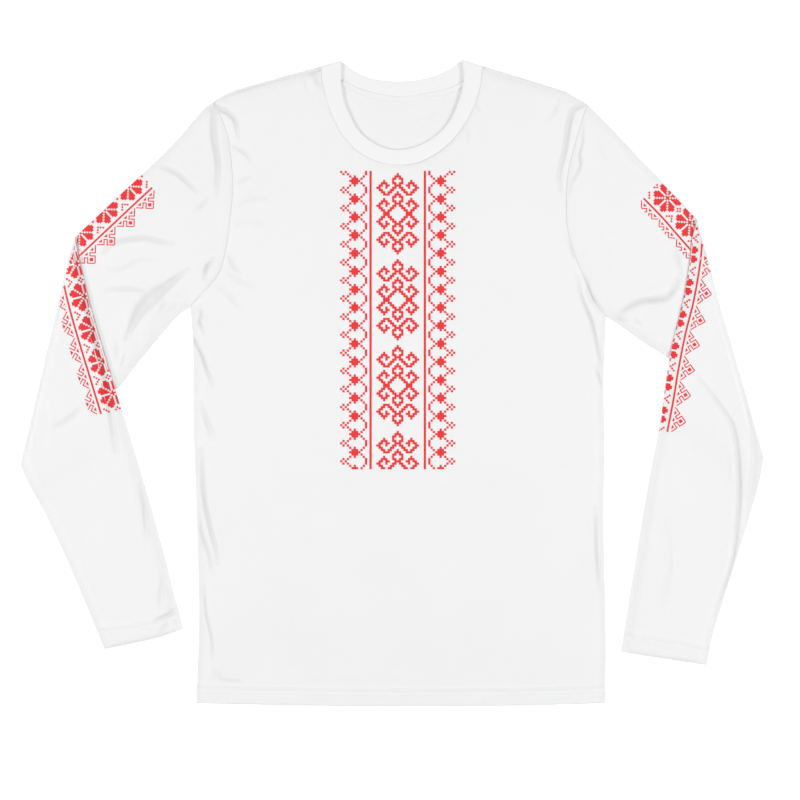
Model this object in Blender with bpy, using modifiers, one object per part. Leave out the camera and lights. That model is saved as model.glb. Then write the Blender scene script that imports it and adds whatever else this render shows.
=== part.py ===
"""A long-sleeve crew-neck jersey shirt laid flat, front up, with both sleeves folded at the elbow.

The frame: +X to the wearer's left, +Y towards the neck, +Z up from the surface it lies on. The origin is the
middle of the shirt's outline, at the surface. Tables and sizes are in millimetres, meshes in metres.
The shirt is cut cloth in layers: back panel, front panel over it, and two flattened sleeve tubes, each folded
once so that its lower half lies over its upper half and then comes down to the surface.
"""

import math

import bmesh
import bpy
import numpy as np

MM = 0.001

# Cloth
JERSEY = 1.2  # wall of the panels and sleeves
RIB = 1.5  # wall of the front neckband
GAP = 0.3  # between sewn pieces and between layers
TUBE = 2 * JERSEY + GAP  # a flattened sleeve, outside
FOLD_LIFT = TUBE + GAP  # the lower sleeve's underside where it lies on the upper sleeve
FOLD_RADIUS = TUBE + GAP / 2  # the elbow fold's outer radius
HEM_DEPTH = 18.0
HEM_STEP = 0.5  # how much the turned-up hem raises the front
CUFF_DEPTH = 18.0
CUFF_STEP = 0.4
TAPE = 1.0
TAPE_WIDTH = 6.0
TAPE_SHOWS = (0.19, 0.80)  # the stretch of the back neck seam that shows between the front neckband's edges
BAND_DOME = 0.4  # how much the neckband swells at its middle
DROP_START = 14.0  # past the upper sleeve's edge, where the lower sleeve starts to come down
DROP_LENGTH = 42.0
EDGE_FADE = 7.0  # folds of the front panel flatten over this distance to its edges
COVER_FADE = 12.0  # and those of an upper sleeve over this distance to the lower sleeve that lies on it
ELBOW_FADE = 20.0  # and those of a lower sleeve over this distance to the elbow

# Points along the edges, shared by the pieces that meet there
ARMHOLE_STEPS = 13
SIDE_STEPS = 16
SHOULDER_STEPS = 6
NECK_STEPS = 36
BAND_STEPS = 4
TAPE_STEPS = 18
SLEEVE_TOP_STEPS = 9
SLEEVE_UNDER_STEPS = 4
UPPER_ROWS = 11
LOWER_ROWS = 24
FOLD_TURNS = (30, 60, 90)  # degrees of the elbow fold's quarter turn

# Outlines as x, y. "right" and "left" are the wearer's, so right is at -X.
HEM = ((-215.5, -352), (-101, -354.5), (9, -355.5), (119, -355), (234.5, -352))
RIGHT_SIDE = ((-215.5, -352), (-212.5, -260), (-215, -150), (-218.5, -40), (-219, 40), (-222, 84.5))
LEFT_SIDE = ((234.5, -352), (235.5, -290), (233, -150), (234, -70), (233, 0), (235.5, 73.5))
RIGHT_ARMHOLE = (
    (-222, 84.5),
    (-211, 96),
    (-191, 120),
    (-182.5, 148.5),
    (-178, 181.5),
    (-175.3, 215),
    (-177, 246.5),
    (-181, 273),
    (-195.5, 310),
)
LEFT_ARMHOLE = (
    (235.5, 73.5),
    (222, 90),
    (211, 116.5),
    (200, 144),
    (193, 170),
    (191.5, 195),
    (193.5, 230),
    (202.5, 267.5),
    (214.5, 307),
)
RIGHT_SHOULDER = ((-195.5, 310), (-178, 320), (-157.5, 326.5), (-109, 340), (-77.5, 348.5))
LEFT_SHOULDER = ((214.5, 307), (191.5, 320), (172.5, 326.5), (128.5, 340), (100, 348.5))
FRONT_NECK_SEAM = (
    (-77.5, 348.5),
    (-76.5, 332),
    (-69.5, 304.5),
    (-54.5, 273),
    (-33.5, 252),
    (-11, 242),
    (14.5, 240),
    (36.5, 245.5),
    (61.5, 262),
    (82.5, 289.5),
    (95.5, 321),
    (100, 348.5),
)
FRONT_NECK_EDGE = (
    (-56.5, 354.5),
    (-55.5, 326.5),
    (-50.5, 304.5),
    (-35, 276.5),
    (-11, 260.5),
    (10, 257.5),
    (34, 264),
    (59, 282.5),
    (75.5, 316),
    (79, 340),
    (77.5, 355.5),
)
BACK_NECK_SEAM = (
    (-77.5, 348.5),
    (-51.5, 332),
    (-29.5, 322),
    (7.5, 315.5),
    (36.5, 319),
    (67, 326.5),
    (100, 348.5),
)
BACK_NECK_EDGE = (
    (-56.5, 354.5),
    (-37.5, 341),
    (-18.5, 334.5),
    (7.5, 332),
    (36.5, 335),
    (61.5, 344.5),
    (77.5, 355.5),
)

RIGHT_SLEEVE = {
    "armhole": RIGHT_ARMHOLE,
    "top": ((-195.5, 310), (-208, 300.5), (-243, 260.5), (-299, 208), (-349, 161)),
    "under": ((-222, 84.5), (-240, 69.5), (-284, 16.5), (-301.5, -5.5), (-354, -47.5), (-409, -89)),
    "elbow": ((-349, 161), (-356.5, 135.5), (-368.5, 82.5), (-384, 16.5), (-399.5, -49.5), (-409, -89)),
    "inner": (
        (-349, 161),
        (-343, 133),
        (-331, 83),
        (-309.5, 10.5),
        (-285, -69.5),
        (-267.5, -128.5),
        (-251, -188),
        (-230, -270.5),
    ),
    "outer": ((-409, -89), (-400.5, -109), (-379.5, -148.5), (-352, -208), (-330, -260.5), (-317, -292.5)),
    "cuff": ((-230, -270.5), (-260.5, -280.5), (-317, -292.5)),
    "under_line": ((-301.5, -5.5), (-409, -89)),
}
LEFT_SLEEVE = {
    "armhole": LEFT_ARMHOLE,
    "top": ((214.5, 307), (241, 280.5), (278.5, 241), (317, 201.5), (335.5, 180.5)),
    "under": ((235.5, 73.5), (252, 62.5), (279.5, 43), (304.5, 26.5), (357.5, -26.5), (409, -80.5)),
    "elbow": ((335.5, 180.5), (344.5, 148.5), (364, 76), (387, -3.5), (403.5, -62), (409, -80.5)),
    "inner": (
        (335.5, 180.5),
        (326, 145),
        (320, 86),
        (304.5, 25.5),
        (295, -43),
        (282.5, -109),
        (266, -208),
        (252, -295),
    ),
    "outer": ((409, -80.5), (402.5, -115.5), (387, -168.5), (368.5, -227.5), (354, -274), (346.5, -310)),
    "cuff": ((252, -295), (280.5, -300), (346.5, -310)),
    "under_line": ((304.5, 26.5), (409, -80.5)),
}

# The largest folds of the upper layers. Columns: start, middle, end, half width, height.
FOLDS = (
    ((-195, 302), (-176, 298), (-166, 270), 7, 1.2),
    ((-232, 118), (-262, 96), (-288, 62), 9, 2.0),
    ((-318, 142), (-272, 160), (-240, 152), 8, 1.0),
    ((-214, 82), (-203, 20), (-196, -60), 8, 1.2),
    ((-208, -75), (-203, -140), (-190, -200), 8, 1.2),
    ((-206, -215), (-200, -260), (-194, -308), 8, 0.9),
    ((212, 300), (192, 270), (184, 215), 8, 1.6),
    ((210, 282), (206, 250), (194, 205), 7, 1.2),
    ((248, 270), (270, 240), (290, 216), 8, 1.0),
    ((207, 106), (220, 60), (232, 5), 8, 1.2),
    ((225, -135), (224, -190), (228, -230), 8, 0.8),
    ((252, 80), (276, 88), (296, 86), 7, 1.0),
    ((338, 0), (380, -70), (384, -150), 10, 1.6),
    ((382, -140), (376, -200), (356, -256), 9, 1.2),
    ((-304, -20), (-294, -60), (-276, -110), 8, 0.9),
    ((-270, -130), (-262, -190), (-254, -245), 8, 0.8),
)
# Material values read from the photo: linear base colour, roughness
WHITE_JERSEY = ((0.86, 0.86, 0.87), 0.9)
WHITE_RIB = ((0.84, 0.84, 0.85), 0.92)


def through(points):
    """A smooth curve through the points, as a function of the share of its length from 0 to 1."""
    knots = np.array(points, float)
    ends = np.concatenate([[2 * knots[0] - knots[1]], knots, [2 * knots[-1] - knots[-2]]])
    pieces = []
    for before, start, end, after in zip(ends[:-3], ends[1:-2], ends[2:-1], ends[3:]):
        t = np.linspace(0, 1, 16, endpoint=False)[:, None]
        span = np.linalg.norm(end - start)
        leave = (end - before) * span / (np.linalg.norm(end - start) + np.linalg.norm(start - before))
        arrive = (after - start) * span / (np.linalg.norm(after - end) + np.linalg.norm(end - start))
        pieces.append(
            (2 * t**3 - 3 * t**2 + 1) * start
            + (t**3 - 2 * t**2 + t) * leave
            + (3 * t**2 - 2 * t**3) * end
            + (t**3 - t**2) * arrive
        )
    line = np.concatenate(pieces + [knots[-1:]])
    along = np.concatenate([[0], np.cumsum(np.linalg.norm(np.diff(line, axis=0), axis=1))])
    along /= along[-1]

    def at(t):
        return np.stack([np.interp(t, along, line[:, 0]), np.interp(t, along, line[:, 1])], axis=-1)

    return at


def steps(count):
    return np.linspace(0, 1, count + 1)


def run(*parts):
    """One line of points through several curves end to end. Each part is a curve and its number of steps."""
    lines = [curve(steps(count)) for curve, count in parts]
    return np.concatenate([lines[0]] + [line[1:] for line in lines[1:]])


def moved_out(line, distance):
    """The line moved to its left by the distance."""
    along = np.gradient(line, axis=0)
    along /= np.linalg.norm(along, axis=1)[:, None]
    return line + distance * np.stack([-along[:, 1], along[:, 0]], axis=1)


def patch(low, high, start, end):
    """The grid of points inside four lines. low and high run along u, start and end along v."""
    u = np.linspace(0, 1, len(low))[None, :, None]
    v = np.linspace(0, 1, len(start))[:, None, None]
    across = (1 - v) * low[None] + v * high[None]
    along = (1 - u) * start[:, None] + u * end[:, None]
    corners = (1 - v) * ((1 - u) * low[0] + u * low[-1]) + v * ((1 - u) * high[0] + u * high[-1])
    return across + along - corners


def smooth_step(t):
    t = np.clip(t, 0, 1)
    return t * t * (3 - 2 * t)


def fold_height(plan):
    """How much the folds raise the upper layer at each place."""
    height = np.zeros(plan.shape[:-1])
    for start, middle, end, half_width, rise in FOLDS:
        t = np.linspace(0, 1, 13)[:, None]
        ridge = (1 - t) ** 2 * np.array(start) + 2 * t * (1 - t) * np.array(middle) + t**2 * np.array(end)
        apart = np.linalg.norm(plan[..., None, :] - ridge, axis=-1)
        taper = np.sin(np.pi * np.clip(t[:, 0], 0.06, 0.94)) ** 0.7
        height += rise * (taper * np.exp(-((apart / half_width) ** 2))).max(axis=-1)
    return height


def material(name, look):
    colour, roughness = look
    made = bpy.data.materials.new(name)
    made.use_nodes = True
    shader = made.node_tree.nodes["Principled BSDF"]
    shader.inputs["Base Color"].default_value = (*colour, 1)
    shader.inputs["Roughness"].default_value = roughness
    shader.inputs["Metallic"].default_value = 0
    made.diffuse_color = (*colour, 1)
    return made


def named_object(name, data, look, collection):
    data.materials.append(look)
    piece = bpy.data.objects.new(name, data)
    collection.objects.link(piece)
    return piece


def grid_surface(name, points, look, collection):
    """An open surface over a grid of points in millimetres, with its faces up."""
    rows, columns = points.shape[:2]
    shape = bmesh.new()
    corners = [shape.verts.new(place * MM) for place in points.reshape(-1, 3)]
    for row in range(rows - 1):
        for column in range(columns - 1):
            first = row * columns + column
            shape.faces.new(
                (corners[first], corners[first + 1], corners[first + columns + 1], corners[first + columns])
            )
    bmesh.ops.recalc_face_normals(shape, faces=shape.faces)
    shape.normal_update()
    if sum(face.normal.z for face in shape.faces) < 0:
        bmesh.ops.reverse_faces(shape, faces=shape.faces)
    data = bpy.data.meshes.new(name)
    shape.to_mesh(data)
    shape.free()
    data.shade_smooth()
    return named_object(name, data, look, collection)


def thicken(piece, thickness):
    """Gives an open surface its wall, on its underside."""
    wall = piece.modifiers.new("wall", "SOLIDIFY")
    wall.thickness = thickness * MM
    wall.offset = -1
    wall.use_rim = True


def flat_piece(name, outline, bottom, thickness, look, collection):
    """A flat piece of cloth from its outline, lying from bottom to bottom + thickness."""
    data = bpy.data.curves.new(name, "CURVE")
    data.dimensions = "2D"
    data.fill_mode = "BOTH"
    data.extrude = thickness / 2 * MM
    spline = data.splines.new("POLY")
    spline.points.add(len(outline) - 1)
    for point, (x, y) in zip(spline.points, outline):
        point.co = (x * MM, y * MM, 0, 1)
    spline.use_cyclic_u = True
    piece = named_object(name, data, look, collection)
    piece.location.z = (bottom + thickness / 2) * MM
    return piece


def loft(name, outside, inside, look, collection):
    """A hollow tube, open at both ends, between two stacks of rings. Each stack is rows x ring points x 3."""
    rows, around = outside.shape[:2]
    shape = bmesh.new()
    outer = [[shape.verts.new(place * MM) for place in ring] for ring in outside]
    inner = [[shape.verts.new(place * MM) for place in ring] for ring in inside]
    for step in range(around):
        after = (step + 1) % around
        for row in range(rows - 1):
            shape.faces.new((outer[row][step], outer[row][after], outer[row + 1][after], outer[row + 1][step]))
            shape.faces.new((inner[row][step], inner[row + 1][step], inner[row + 1][after], inner[row][after]))
        for row in (0, rows - 1):
            shape.faces.new((outer[row][step], outer[row][after], inner[row][after], inner[row][step]))
    bmesh.ops.recalc_face_normals(shape, faces=shape.faces)
    data = bpy.data.meshes.new(name)
    shape.to_mesh(data)
    shape.free()
    data.shade_smooth()
    data.set_sharp_from_angle(angle=math.radians(50))
    return named_object(name, data, look, collection)


def ring_places(radius):
    """Once round a flattened sleeve of that half height: side (0 or 1, or None on a flat), share or inset, height, lift.

    The inset is the distance from the sleeve's edge in plan. Lift is how much of the fold height a point takes.
    """
    middle = TUBE / 2
    places = []
    for share in np.linspace(0, 1, SLEEVE_TOP_STEPS + 1):
        places.append((None, share, middle + radius, 1.0))
    for turn in (30, -30):
        angle = math.radians(turn)
        places.append((1, middle - radius * math.cos(angle), middle + radius * math.sin(angle), (1 + math.sin(angle)) / 2))
    for share in np.linspace(1, 0, SLEEVE_UNDER_STEPS + 1):
        places.append((None, share, middle - radius, 0.0))
    for turn in (-30, 30):
        angle = math.radians(turn)
        places.append((0, middle - radius * math.cos(angle), middle + radius * math.sin(angle), (1 + math.sin(angle)) / 2))
    return places


def on_row(line, places):
    """Plan places, heights and lifts round the sleeve at one row, whose line crosses the sleeve from edge to edge."""
    along = np.concatenate([[0], np.cumsum(np.linalg.norm(np.diff(line, axis=0), axis=1))])
    width = along[-1]
    inset = TUBE / 2
    distances = []
    for side, value, _, _ in places:
        if side is None:
            distances.append(inset + value * (width - 2 * inset))
        elif side == 0:
            distances.append(value)
        else:
            distances.append(width - value)
    plan = np.stack([np.interp(distances, along, line[:, axis]) for axis in (0, 1)], axis=1)
    return plan, np.array([place[2] for place in places]), np.array([place[3] for place in places])


def past_line(plan, line):
    """How far each place is past a line, on the side that faces the hem."""
    (x0, y0), (x1, y1) = line
    normal = np.array([y1 - y0, x0 - x1])
    normal /= np.linalg.norm(normal)
    if normal[1] > 0:
        normal = -normal
    return (plan - np.array([x0, y0])) @ normal


def sleeve_rows(cut, upper):
    """The lines across the upper or lower half of a sleeve, from its seam or fold to its fold or cuff."""
    across = ARMHOLE_STEPS
    elbow = through(cut["elbow"])(steps(across))
    if upper:
        armhole = through(cut["armhole"])(steps(across))[::-1]
        sign = 1 if armhole[0, 0] > 0 else -1
        armhole = moved_out(armhole, sign * GAP)
        top = np.concatenate([armhole[:1], through(cut["top"])(steps(UPPER_ROWS))[1:]])
        under = np.concatenate([armhole[-1:], through(cut["under"])(steps(UPPER_ROWS))[1:]])
        return patch(armhole, elbow, top, under)
    inner = through(cut["inner"])(steps(LOWER_ROWS))
    outer = through(cut["outer"])(steps(LOWER_ROWS))
    cuff = through(cut["cuff"])(steps(across))
    return patch(elbow, cuff, inner, outer)


def fold_fade(places, elbow_line, reach):
    """0 at the elbow fold, rising to 1 at the reach from it."""
    apart = np.linalg.norm(places[:, None] - elbow_line[None], axis=2).min(axis=1)
    return smooth_step((apart - FOLD_RADIUS) / reach)


def upper_sleeve(name, cut, look, collection):
    """From the armhole seam to halfway round the elbow fold. It lies on the surface."""
    rows = sleeve_rows(cut, upper=True)
    elbow = rows[-1]
    stacks = []
    for radius in (TUBE / 2, GAP / 2):
        places = ring_places(radius)
        rings = []
        for line in rows[:-1]:
            plan, height, lift = on_row(line, places)
            under_lower = smooth_step(1 - past_inner_edge(plan, cut) / COVER_FADE)
            rise = fold_height(plan) * lift * (1 - under_lower)
            rings.append(np.column_stack([plan, height + rise]))
        end, height, _ = on_row(elbow, places)
        back = on_row(rows[-2], places)[0]
        inward = back - end
        inward *= FOLD_RADIUS / np.linalg.norm(inward, axis=1)[:, None]
        axis = end + inward
        rings.append(np.column_stack([axis, height]))
        for turn in FOLD_TURNS:
            angle = math.radians(turn)
            arm = FOLD_RADIUS - height
            plan = axis - inward * (arm / FOLD_RADIUS * math.sin(angle))[:, None]
            rings.append(np.column_stack([plan, np.minimum(FOLD_RADIUS - arm * math.cos(angle), TUBE)]))
        stacks.append(np.array(rings))
    return loft(name, stacks[0], stacks[1], look, collection)


def past_inner_edge(plan, cut):
    """How far each place lies outside the strip that the lower sleeve covers."""
    edge = through(cut["inner"])(steps(40))
    flat = plan.reshape(-1, 2)
    apart = np.linalg.norm(flat[:, None] - edge[None], axis=2)
    nearest = apart.argmin(axis=1)
    sign = 1 if edge[0, 0] < 0 else -1
    side = sign * (flat[:, 0] - edge[nearest, 0])
    return np.where(side > 0, apart.min(axis=1), 0.0).reshape(plan.shape[:-1])


def lower_sleeve(name, cut, look, collection):
    """From halfway round the elbow fold to the cuff. It lies on the upper sleeve and comes down past its edge."""
    rows = sleeve_rows(cut, upper=False)
    elbow = rows[0]
    cuff = rows[-1]
    stacks = []
    for radius in (TUBE / 2, GAP / 2):
        places = ring_places(radius)
        end, height, _ = on_row(elbow, places)
        ahead = on_row(rows[1], places)[0]
        inward = ahead - end
        inward *= FOLD_RADIUS / np.linalg.norm(inward, axis=1)[:, None]
        axis = end + inward
        rings = []
        for turn in FOLD_TURNS[::-1]:
            angle = math.radians(turn)
            arm = height + GAP / 2
            plan = axis - inward * (arm / FOLD_RADIUS * math.sin(angle))[:, None]
            rings.append(np.column_stack([plan, np.maximum(FOLD_RADIUS + arm * math.cos(angle), FOLD_LIFT)]))
        rings.append(np.column_stack([axis, FOLD_LIFT + height]))
        for line in rows[1:]:
            plan, height, lift = on_row(line, places)
            fall = smooth_step((past_line(plan, cut["under_line"]) - DROP_START) / DROP_LENGTH)
            rise = fold_height(plan) * lift * fold_fade(plan, elbow, ELBOW_FADE)
            apart = np.linalg.norm(plan[:, None] - cuff[None], axis=2).min(axis=1)
            step = CUFF_STEP * lift * (apart < CUFF_DEPTH)
            rings.append(np.column_stack([plan, FOLD_LIFT * (1 - fall) + height + rise + step]))
        stacks.append(np.array(rings))
    return loft(name, stacks[0], stacks[1], look, collection)


def panel_edges(neck_seam):
    """The outline of a body panel: hem, neck, and each side from the hem over the armhole and the shoulder."""
    hem = through(HEM)(steps(NECK_STEPS))
    neck = through(neck_seam)(steps(NECK_STEPS))
    sides = [
        run(
            (through(side), SIDE_STEPS),
            (through(armhole), ARMHOLE_STEPS),
            (through(shoulder), SHOULDER_STEPS),
        )
        for side, armhole, shoulder in (
            (RIGHT_SIDE, RIGHT_ARMHOLE, RIGHT_SHOULDER),
            (LEFT_SIDE, LEFT_ARMHOLE, LEFT_SHOULDER),
        )
    ]
    return hem, neck, sides[0], sides[1]


def front_panel(look, collection):
    hem, neck, right, left = panel_edges(FRONT_NECK_SEAM)
    plan = patch(hem, neck, right, left)
    flat = plan.reshape(-1, 2)
    edge = np.concatenate([hem, neck, right, left])
    from_edge = np.linalg.norm(flat[:, None] - edge[None], axis=2).min(axis=1)
    rise = fold_height(flat) * smooth_step((from_edge - 1) / EDGE_FADE)
    from_hem = np.linalg.norm(flat[:, None] - hem[None], axis=2).min(axis=1)
    rise += HEM_STEP * smooth_step((HEM_DEPTH + 3 - from_hem) / 3)
    height = (TUBE + rise).reshape(plan.shape[:2])
    piece = grid_surface("front_panel", np.dstack([plan, height]), look, collection)
    thicken(piece, JERSEY)
    return piece


def back_panel(look, collection):
    hem, neck, right, left = panel_edges(BACK_NECK_SEAM)
    outline = np.concatenate([hem, left[1:], neck[::-1][1:], right[::-1][1:-1]])
    return flat_piece("back_panel", outline, 0, JERSEY, look, collection)


def neckband_front(look, collection):
    """Sewn to the front panel's neck and lying over the back neckband at the shoulders."""
    seam = moved_out(through(FRONT_NECK_SEAM)(steps(NECK_STEPS)), GAP)
    edge = through(FRONT_NECK_EDGE)(steps(NECK_STEPS))
    across = steps(BAND_STEPS)[:, None, None]
    plan = (1 - across) * seam[None] + across * edge[None]
    dome = BAND_DOME * np.sin(np.pi * across[..., 0])
    height = JERSEY + GAP + RIB + dome * np.ones(plan.shape[:2])
    piece = grid_surface("neckband_front", np.dstack([plan, height]), look, collection)
    thicken(piece, RIB)
    return piece


def neckband_back(look, collection):
    seam = moved_out(through(BACK_NECK_SEAM)(steps(NECK_STEPS)), GAP)
    edge = through(BACK_NECK_EDGE)(steps(NECK_STEPS))
    outline = np.concatenate([seam, edge[::-1]])
    return flat_piece("neckband_back", outline, 0, JERSEY, look, collection)


def back_neck_tape(look, collection):
    """The narrow tape over the back neck seam, where it shows between the front neckband's edges."""
    seam = moved_out(through(BACK_NECK_SEAM)(np.linspace(*TAPE_SHOWS, TAPE_STEPS + 1)), -GAP)
    lower = moved_out(seam, -TAPE_WIDTH)
    outline = np.concatenate([lower, seam[::-1]])
    return flat_piece("back_neck_tape", outline, JERSEY + GAP, TAPE, look, collection)


def main():
    for old in list(bpy.data.objects):
        bpy.data.objects.remove(old, do_unlink=True)
    shirt = bpy.data.collections.new("long_sleeve_shirt")
    bpy.context.scene.collection.children.link(shirt)
    jersey = material("white_jersey", WHITE_JERSEY)
    rib = material("white_rib", WHITE_RIB)
    back_panel(jersey, shirt)
    front_panel(jersey, shirt)
    neckband_back(rib, shirt)
    neckband_front(rib, shirt)
    back_neck_tape(jersey, shirt)
    for side, cut in (("right", RIGHT_SLEEVE), ("left", LEFT_SLEEVE)):
        upper_sleeve(side + "_sleeve_upper", cut, jersey, shirt)
        lower_sleeve(side + "_sleeve_lower", cut, jersey, shirt)


if __name__ == "__main__":
    main()
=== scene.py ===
"""The looks of a long-sleeve jersey shirt with a red folk print, laid flat with its sleeves folded.

The frame is the CAD part's: +X to the wearer's left, +Y towards the neck, +Z up, in metres. The tables are in
millimetres, as x and y seen from above, and become metres when a mesh is made. "Right" and "left" are the
wearer's.
"""

import math

import bpy
import numpy as np
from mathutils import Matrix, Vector
from mathutils.bvhtree import BVHTree


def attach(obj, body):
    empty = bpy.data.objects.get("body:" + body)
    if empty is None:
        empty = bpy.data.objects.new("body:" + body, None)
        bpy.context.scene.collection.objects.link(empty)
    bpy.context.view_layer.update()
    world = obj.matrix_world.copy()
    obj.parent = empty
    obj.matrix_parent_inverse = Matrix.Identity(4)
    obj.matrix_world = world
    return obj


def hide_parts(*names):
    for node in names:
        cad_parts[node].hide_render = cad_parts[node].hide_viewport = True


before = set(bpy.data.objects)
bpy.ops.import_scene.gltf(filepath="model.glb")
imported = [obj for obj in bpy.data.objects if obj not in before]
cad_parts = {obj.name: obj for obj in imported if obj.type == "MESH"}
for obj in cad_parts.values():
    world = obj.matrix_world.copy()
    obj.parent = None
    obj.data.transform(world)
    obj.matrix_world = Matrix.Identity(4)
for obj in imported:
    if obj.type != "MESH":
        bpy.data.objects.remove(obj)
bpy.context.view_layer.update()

bl_info = {
    "name": "Folk print jersey shirt",
    "version": (1, 0, 0),
    "blender": (4, 5, 0),
    "location": "View3D > Sidebar > Shirt",
    "description": "Makes the cloth, print, stitches and stage of a long-sleeve jersey shirt laid flat",
    "category": "Object",
}

MM = 0.001
ROOT = "root"

# The cut's outlines
HEM = ((-215.5, -352), (-101, -354.5), (9, -355.5), (119, -355), (234.5, -352))
RIGHT_SIDE = ((-215.5, -352), (-212.5, -260), (-215, -150), (-218.5, -40), (-219, 40), (-222, 84.5))
LEFT_SIDE = ((234.5, -352), (235.5, -290), (233, -150), (234, -70), (233, 0), (235.5, 73.5))
RIGHT_ARMHOLE = (
    (-222, 84.5), (-211, 96), (-191, 120), (-182.5, 148.5), (-178, 181.5), (-175.3, 215), (-177, 246.5),
    (-181, 273), (-195.5, 310),
)
LEFT_ARMHOLE = (
    (235.5, 73.5), (222, 90), (211, 116.5), (200, 144), (193, 170), (191.5, 195), (193.5, 230),
    (202.5, 267.5), (214.5, 307),
)
RIGHT_SHOULDER = ((-195.5, 310), (-178, 320), (-157.5, 326.5), (-109, 340), (-77.5, 348.5))
LEFT_SHOULDER = ((214.5, 307), (191.5, 320), (172.5, 326.5), (128.5, 340), (100, 348.5))
FRONT_NECK_SEAM = (
    (-77.5, 348.5), (-76.5, 332), (-69.5, 304.5), (-54.5, 273), (-33.5, 252), (-11, 242), (14.5, 240),
    (36.5, 245.5), (61.5, 262), (82.5, 289.5), (95.5, 321), (100, 348.5),
)
FRONT_NECK_EDGE = (
    (-56.5, 354.5), (-55.5, 326.5), (-50.5, 304.5), (-35, 276.5), (-11, 260.5), (10, 257.5), (34, 264),
    (59, 282.5), (75.5, 316), (79, 340), (77.5, 355.5),
)
BACK_NECK_SEAM = (
    (-77.5, 348.5), (-51.5, 332), (-29.5, 322), (7.5, 315.5), (36.5, 319), (67, 326.5), (100, 348.5),
)
BACK_NECK_EDGE = (
    (-56.5, 354.5), (-37.5, 341), (-18.5, 334.5), (7.5, 332), (36.5, 335), (61.5, 344.5), (77.5, 355.5),
)
RIGHT_SLEEVE = {
    "armhole": RIGHT_ARMHOLE,
    "top": ((-195.5, 310), (-208, 300.5), (-243, 260.5), (-299, 208), (-349, 161)),
    "under": ((-222, 84.5), (-240, 69.5), (-284, 16.5), (-301.5, -5.5), (-354, -47.5), (-409, -89)),
    "elbow": ((-349, 161), (-356.5, 135.5), (-368.5, 82.5), (-384, 16.5), (-399.5, -49.5), (-409, -89)),
    "inner": (
        (-349, 161), (-343, 133), (-331, 83), (-309.5, 10.5), (-285, -69.5), (-267.5, -128.5), (-251, -188),
        (-230, -270.5),
    ),
    "outer": ((-409, -89), (-400.5, -109), (-379.5, -148.5), (-352, -208), (-330, -260.5), (-317, -292.5)),
    "cuff": ((-230, -270.5), (-260.5, -280.5), (-317, -292.5)),
    "cuff_line": ((-234.5, -256), (-257.5, -263), (-285, -268.5), (-323.5, -274)),
    "under_line": ((-301.5, -5.5), (-409, -89)),
    # how wide the painted shadow of the forearm's inner edge is on the upper sleeve
    "shadow_width": 4.8,
}
RIGHT_SLEEVE["print_line"] = RIGHT_SLEEVE["inner"]
LEFT_SLEEVE = {
    "armhole": LEFT_ARMHOLE,
    "top": ((214.5, 307), (241, 280.5), (278.5, 241), (317, 201.5), (335.5, 180.5)),
    "under": ((235.5, 73.5), (252, 62.5), (279.5, 43), (304.5, 26.5), (357.5, -26.5), (409, -80.5)),
    "elbow": ((335.5, 180.5), (344.5, 148.5), (364, 76), (387, -3.5), (403.5, -62), (409, -80.5)),
    "inner": (
        (335.5, 180.5), (330.3, 159), (328, 136.5), (322.8, 104), (319, 86), (304.5, 25.5), (295, -43),
        (282.5, -109), (266, -208), (252, -295),
    ),
    "outer": ((409, -80.5), (402.5, -115.5), (387, -168.5), (368.5, -227.5), (354, -274), (346.5, -310)),
    "cuff": ((252, -295), (280.5, -300), (346.5, -310)),
    "cuff_line": ((255.5, -278.5), (286.5, -282.5), (317.5, -288), (350, -295)),
    "under_line": ((304.5, 26.5), (409, -80.5)),
    # how wide the painted shadow of the forearm's inner edge is on the upper sleeve
    "shadow_width": 2.4,
    "print_line": (
        (330.8, 160.7), (328.9, 136.5), (321.6, 93.2), (312.8, 58.2), (304.1, 14.1), (299.2, -16.8),
        (293.1, -49.9),
    ),
}

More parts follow.
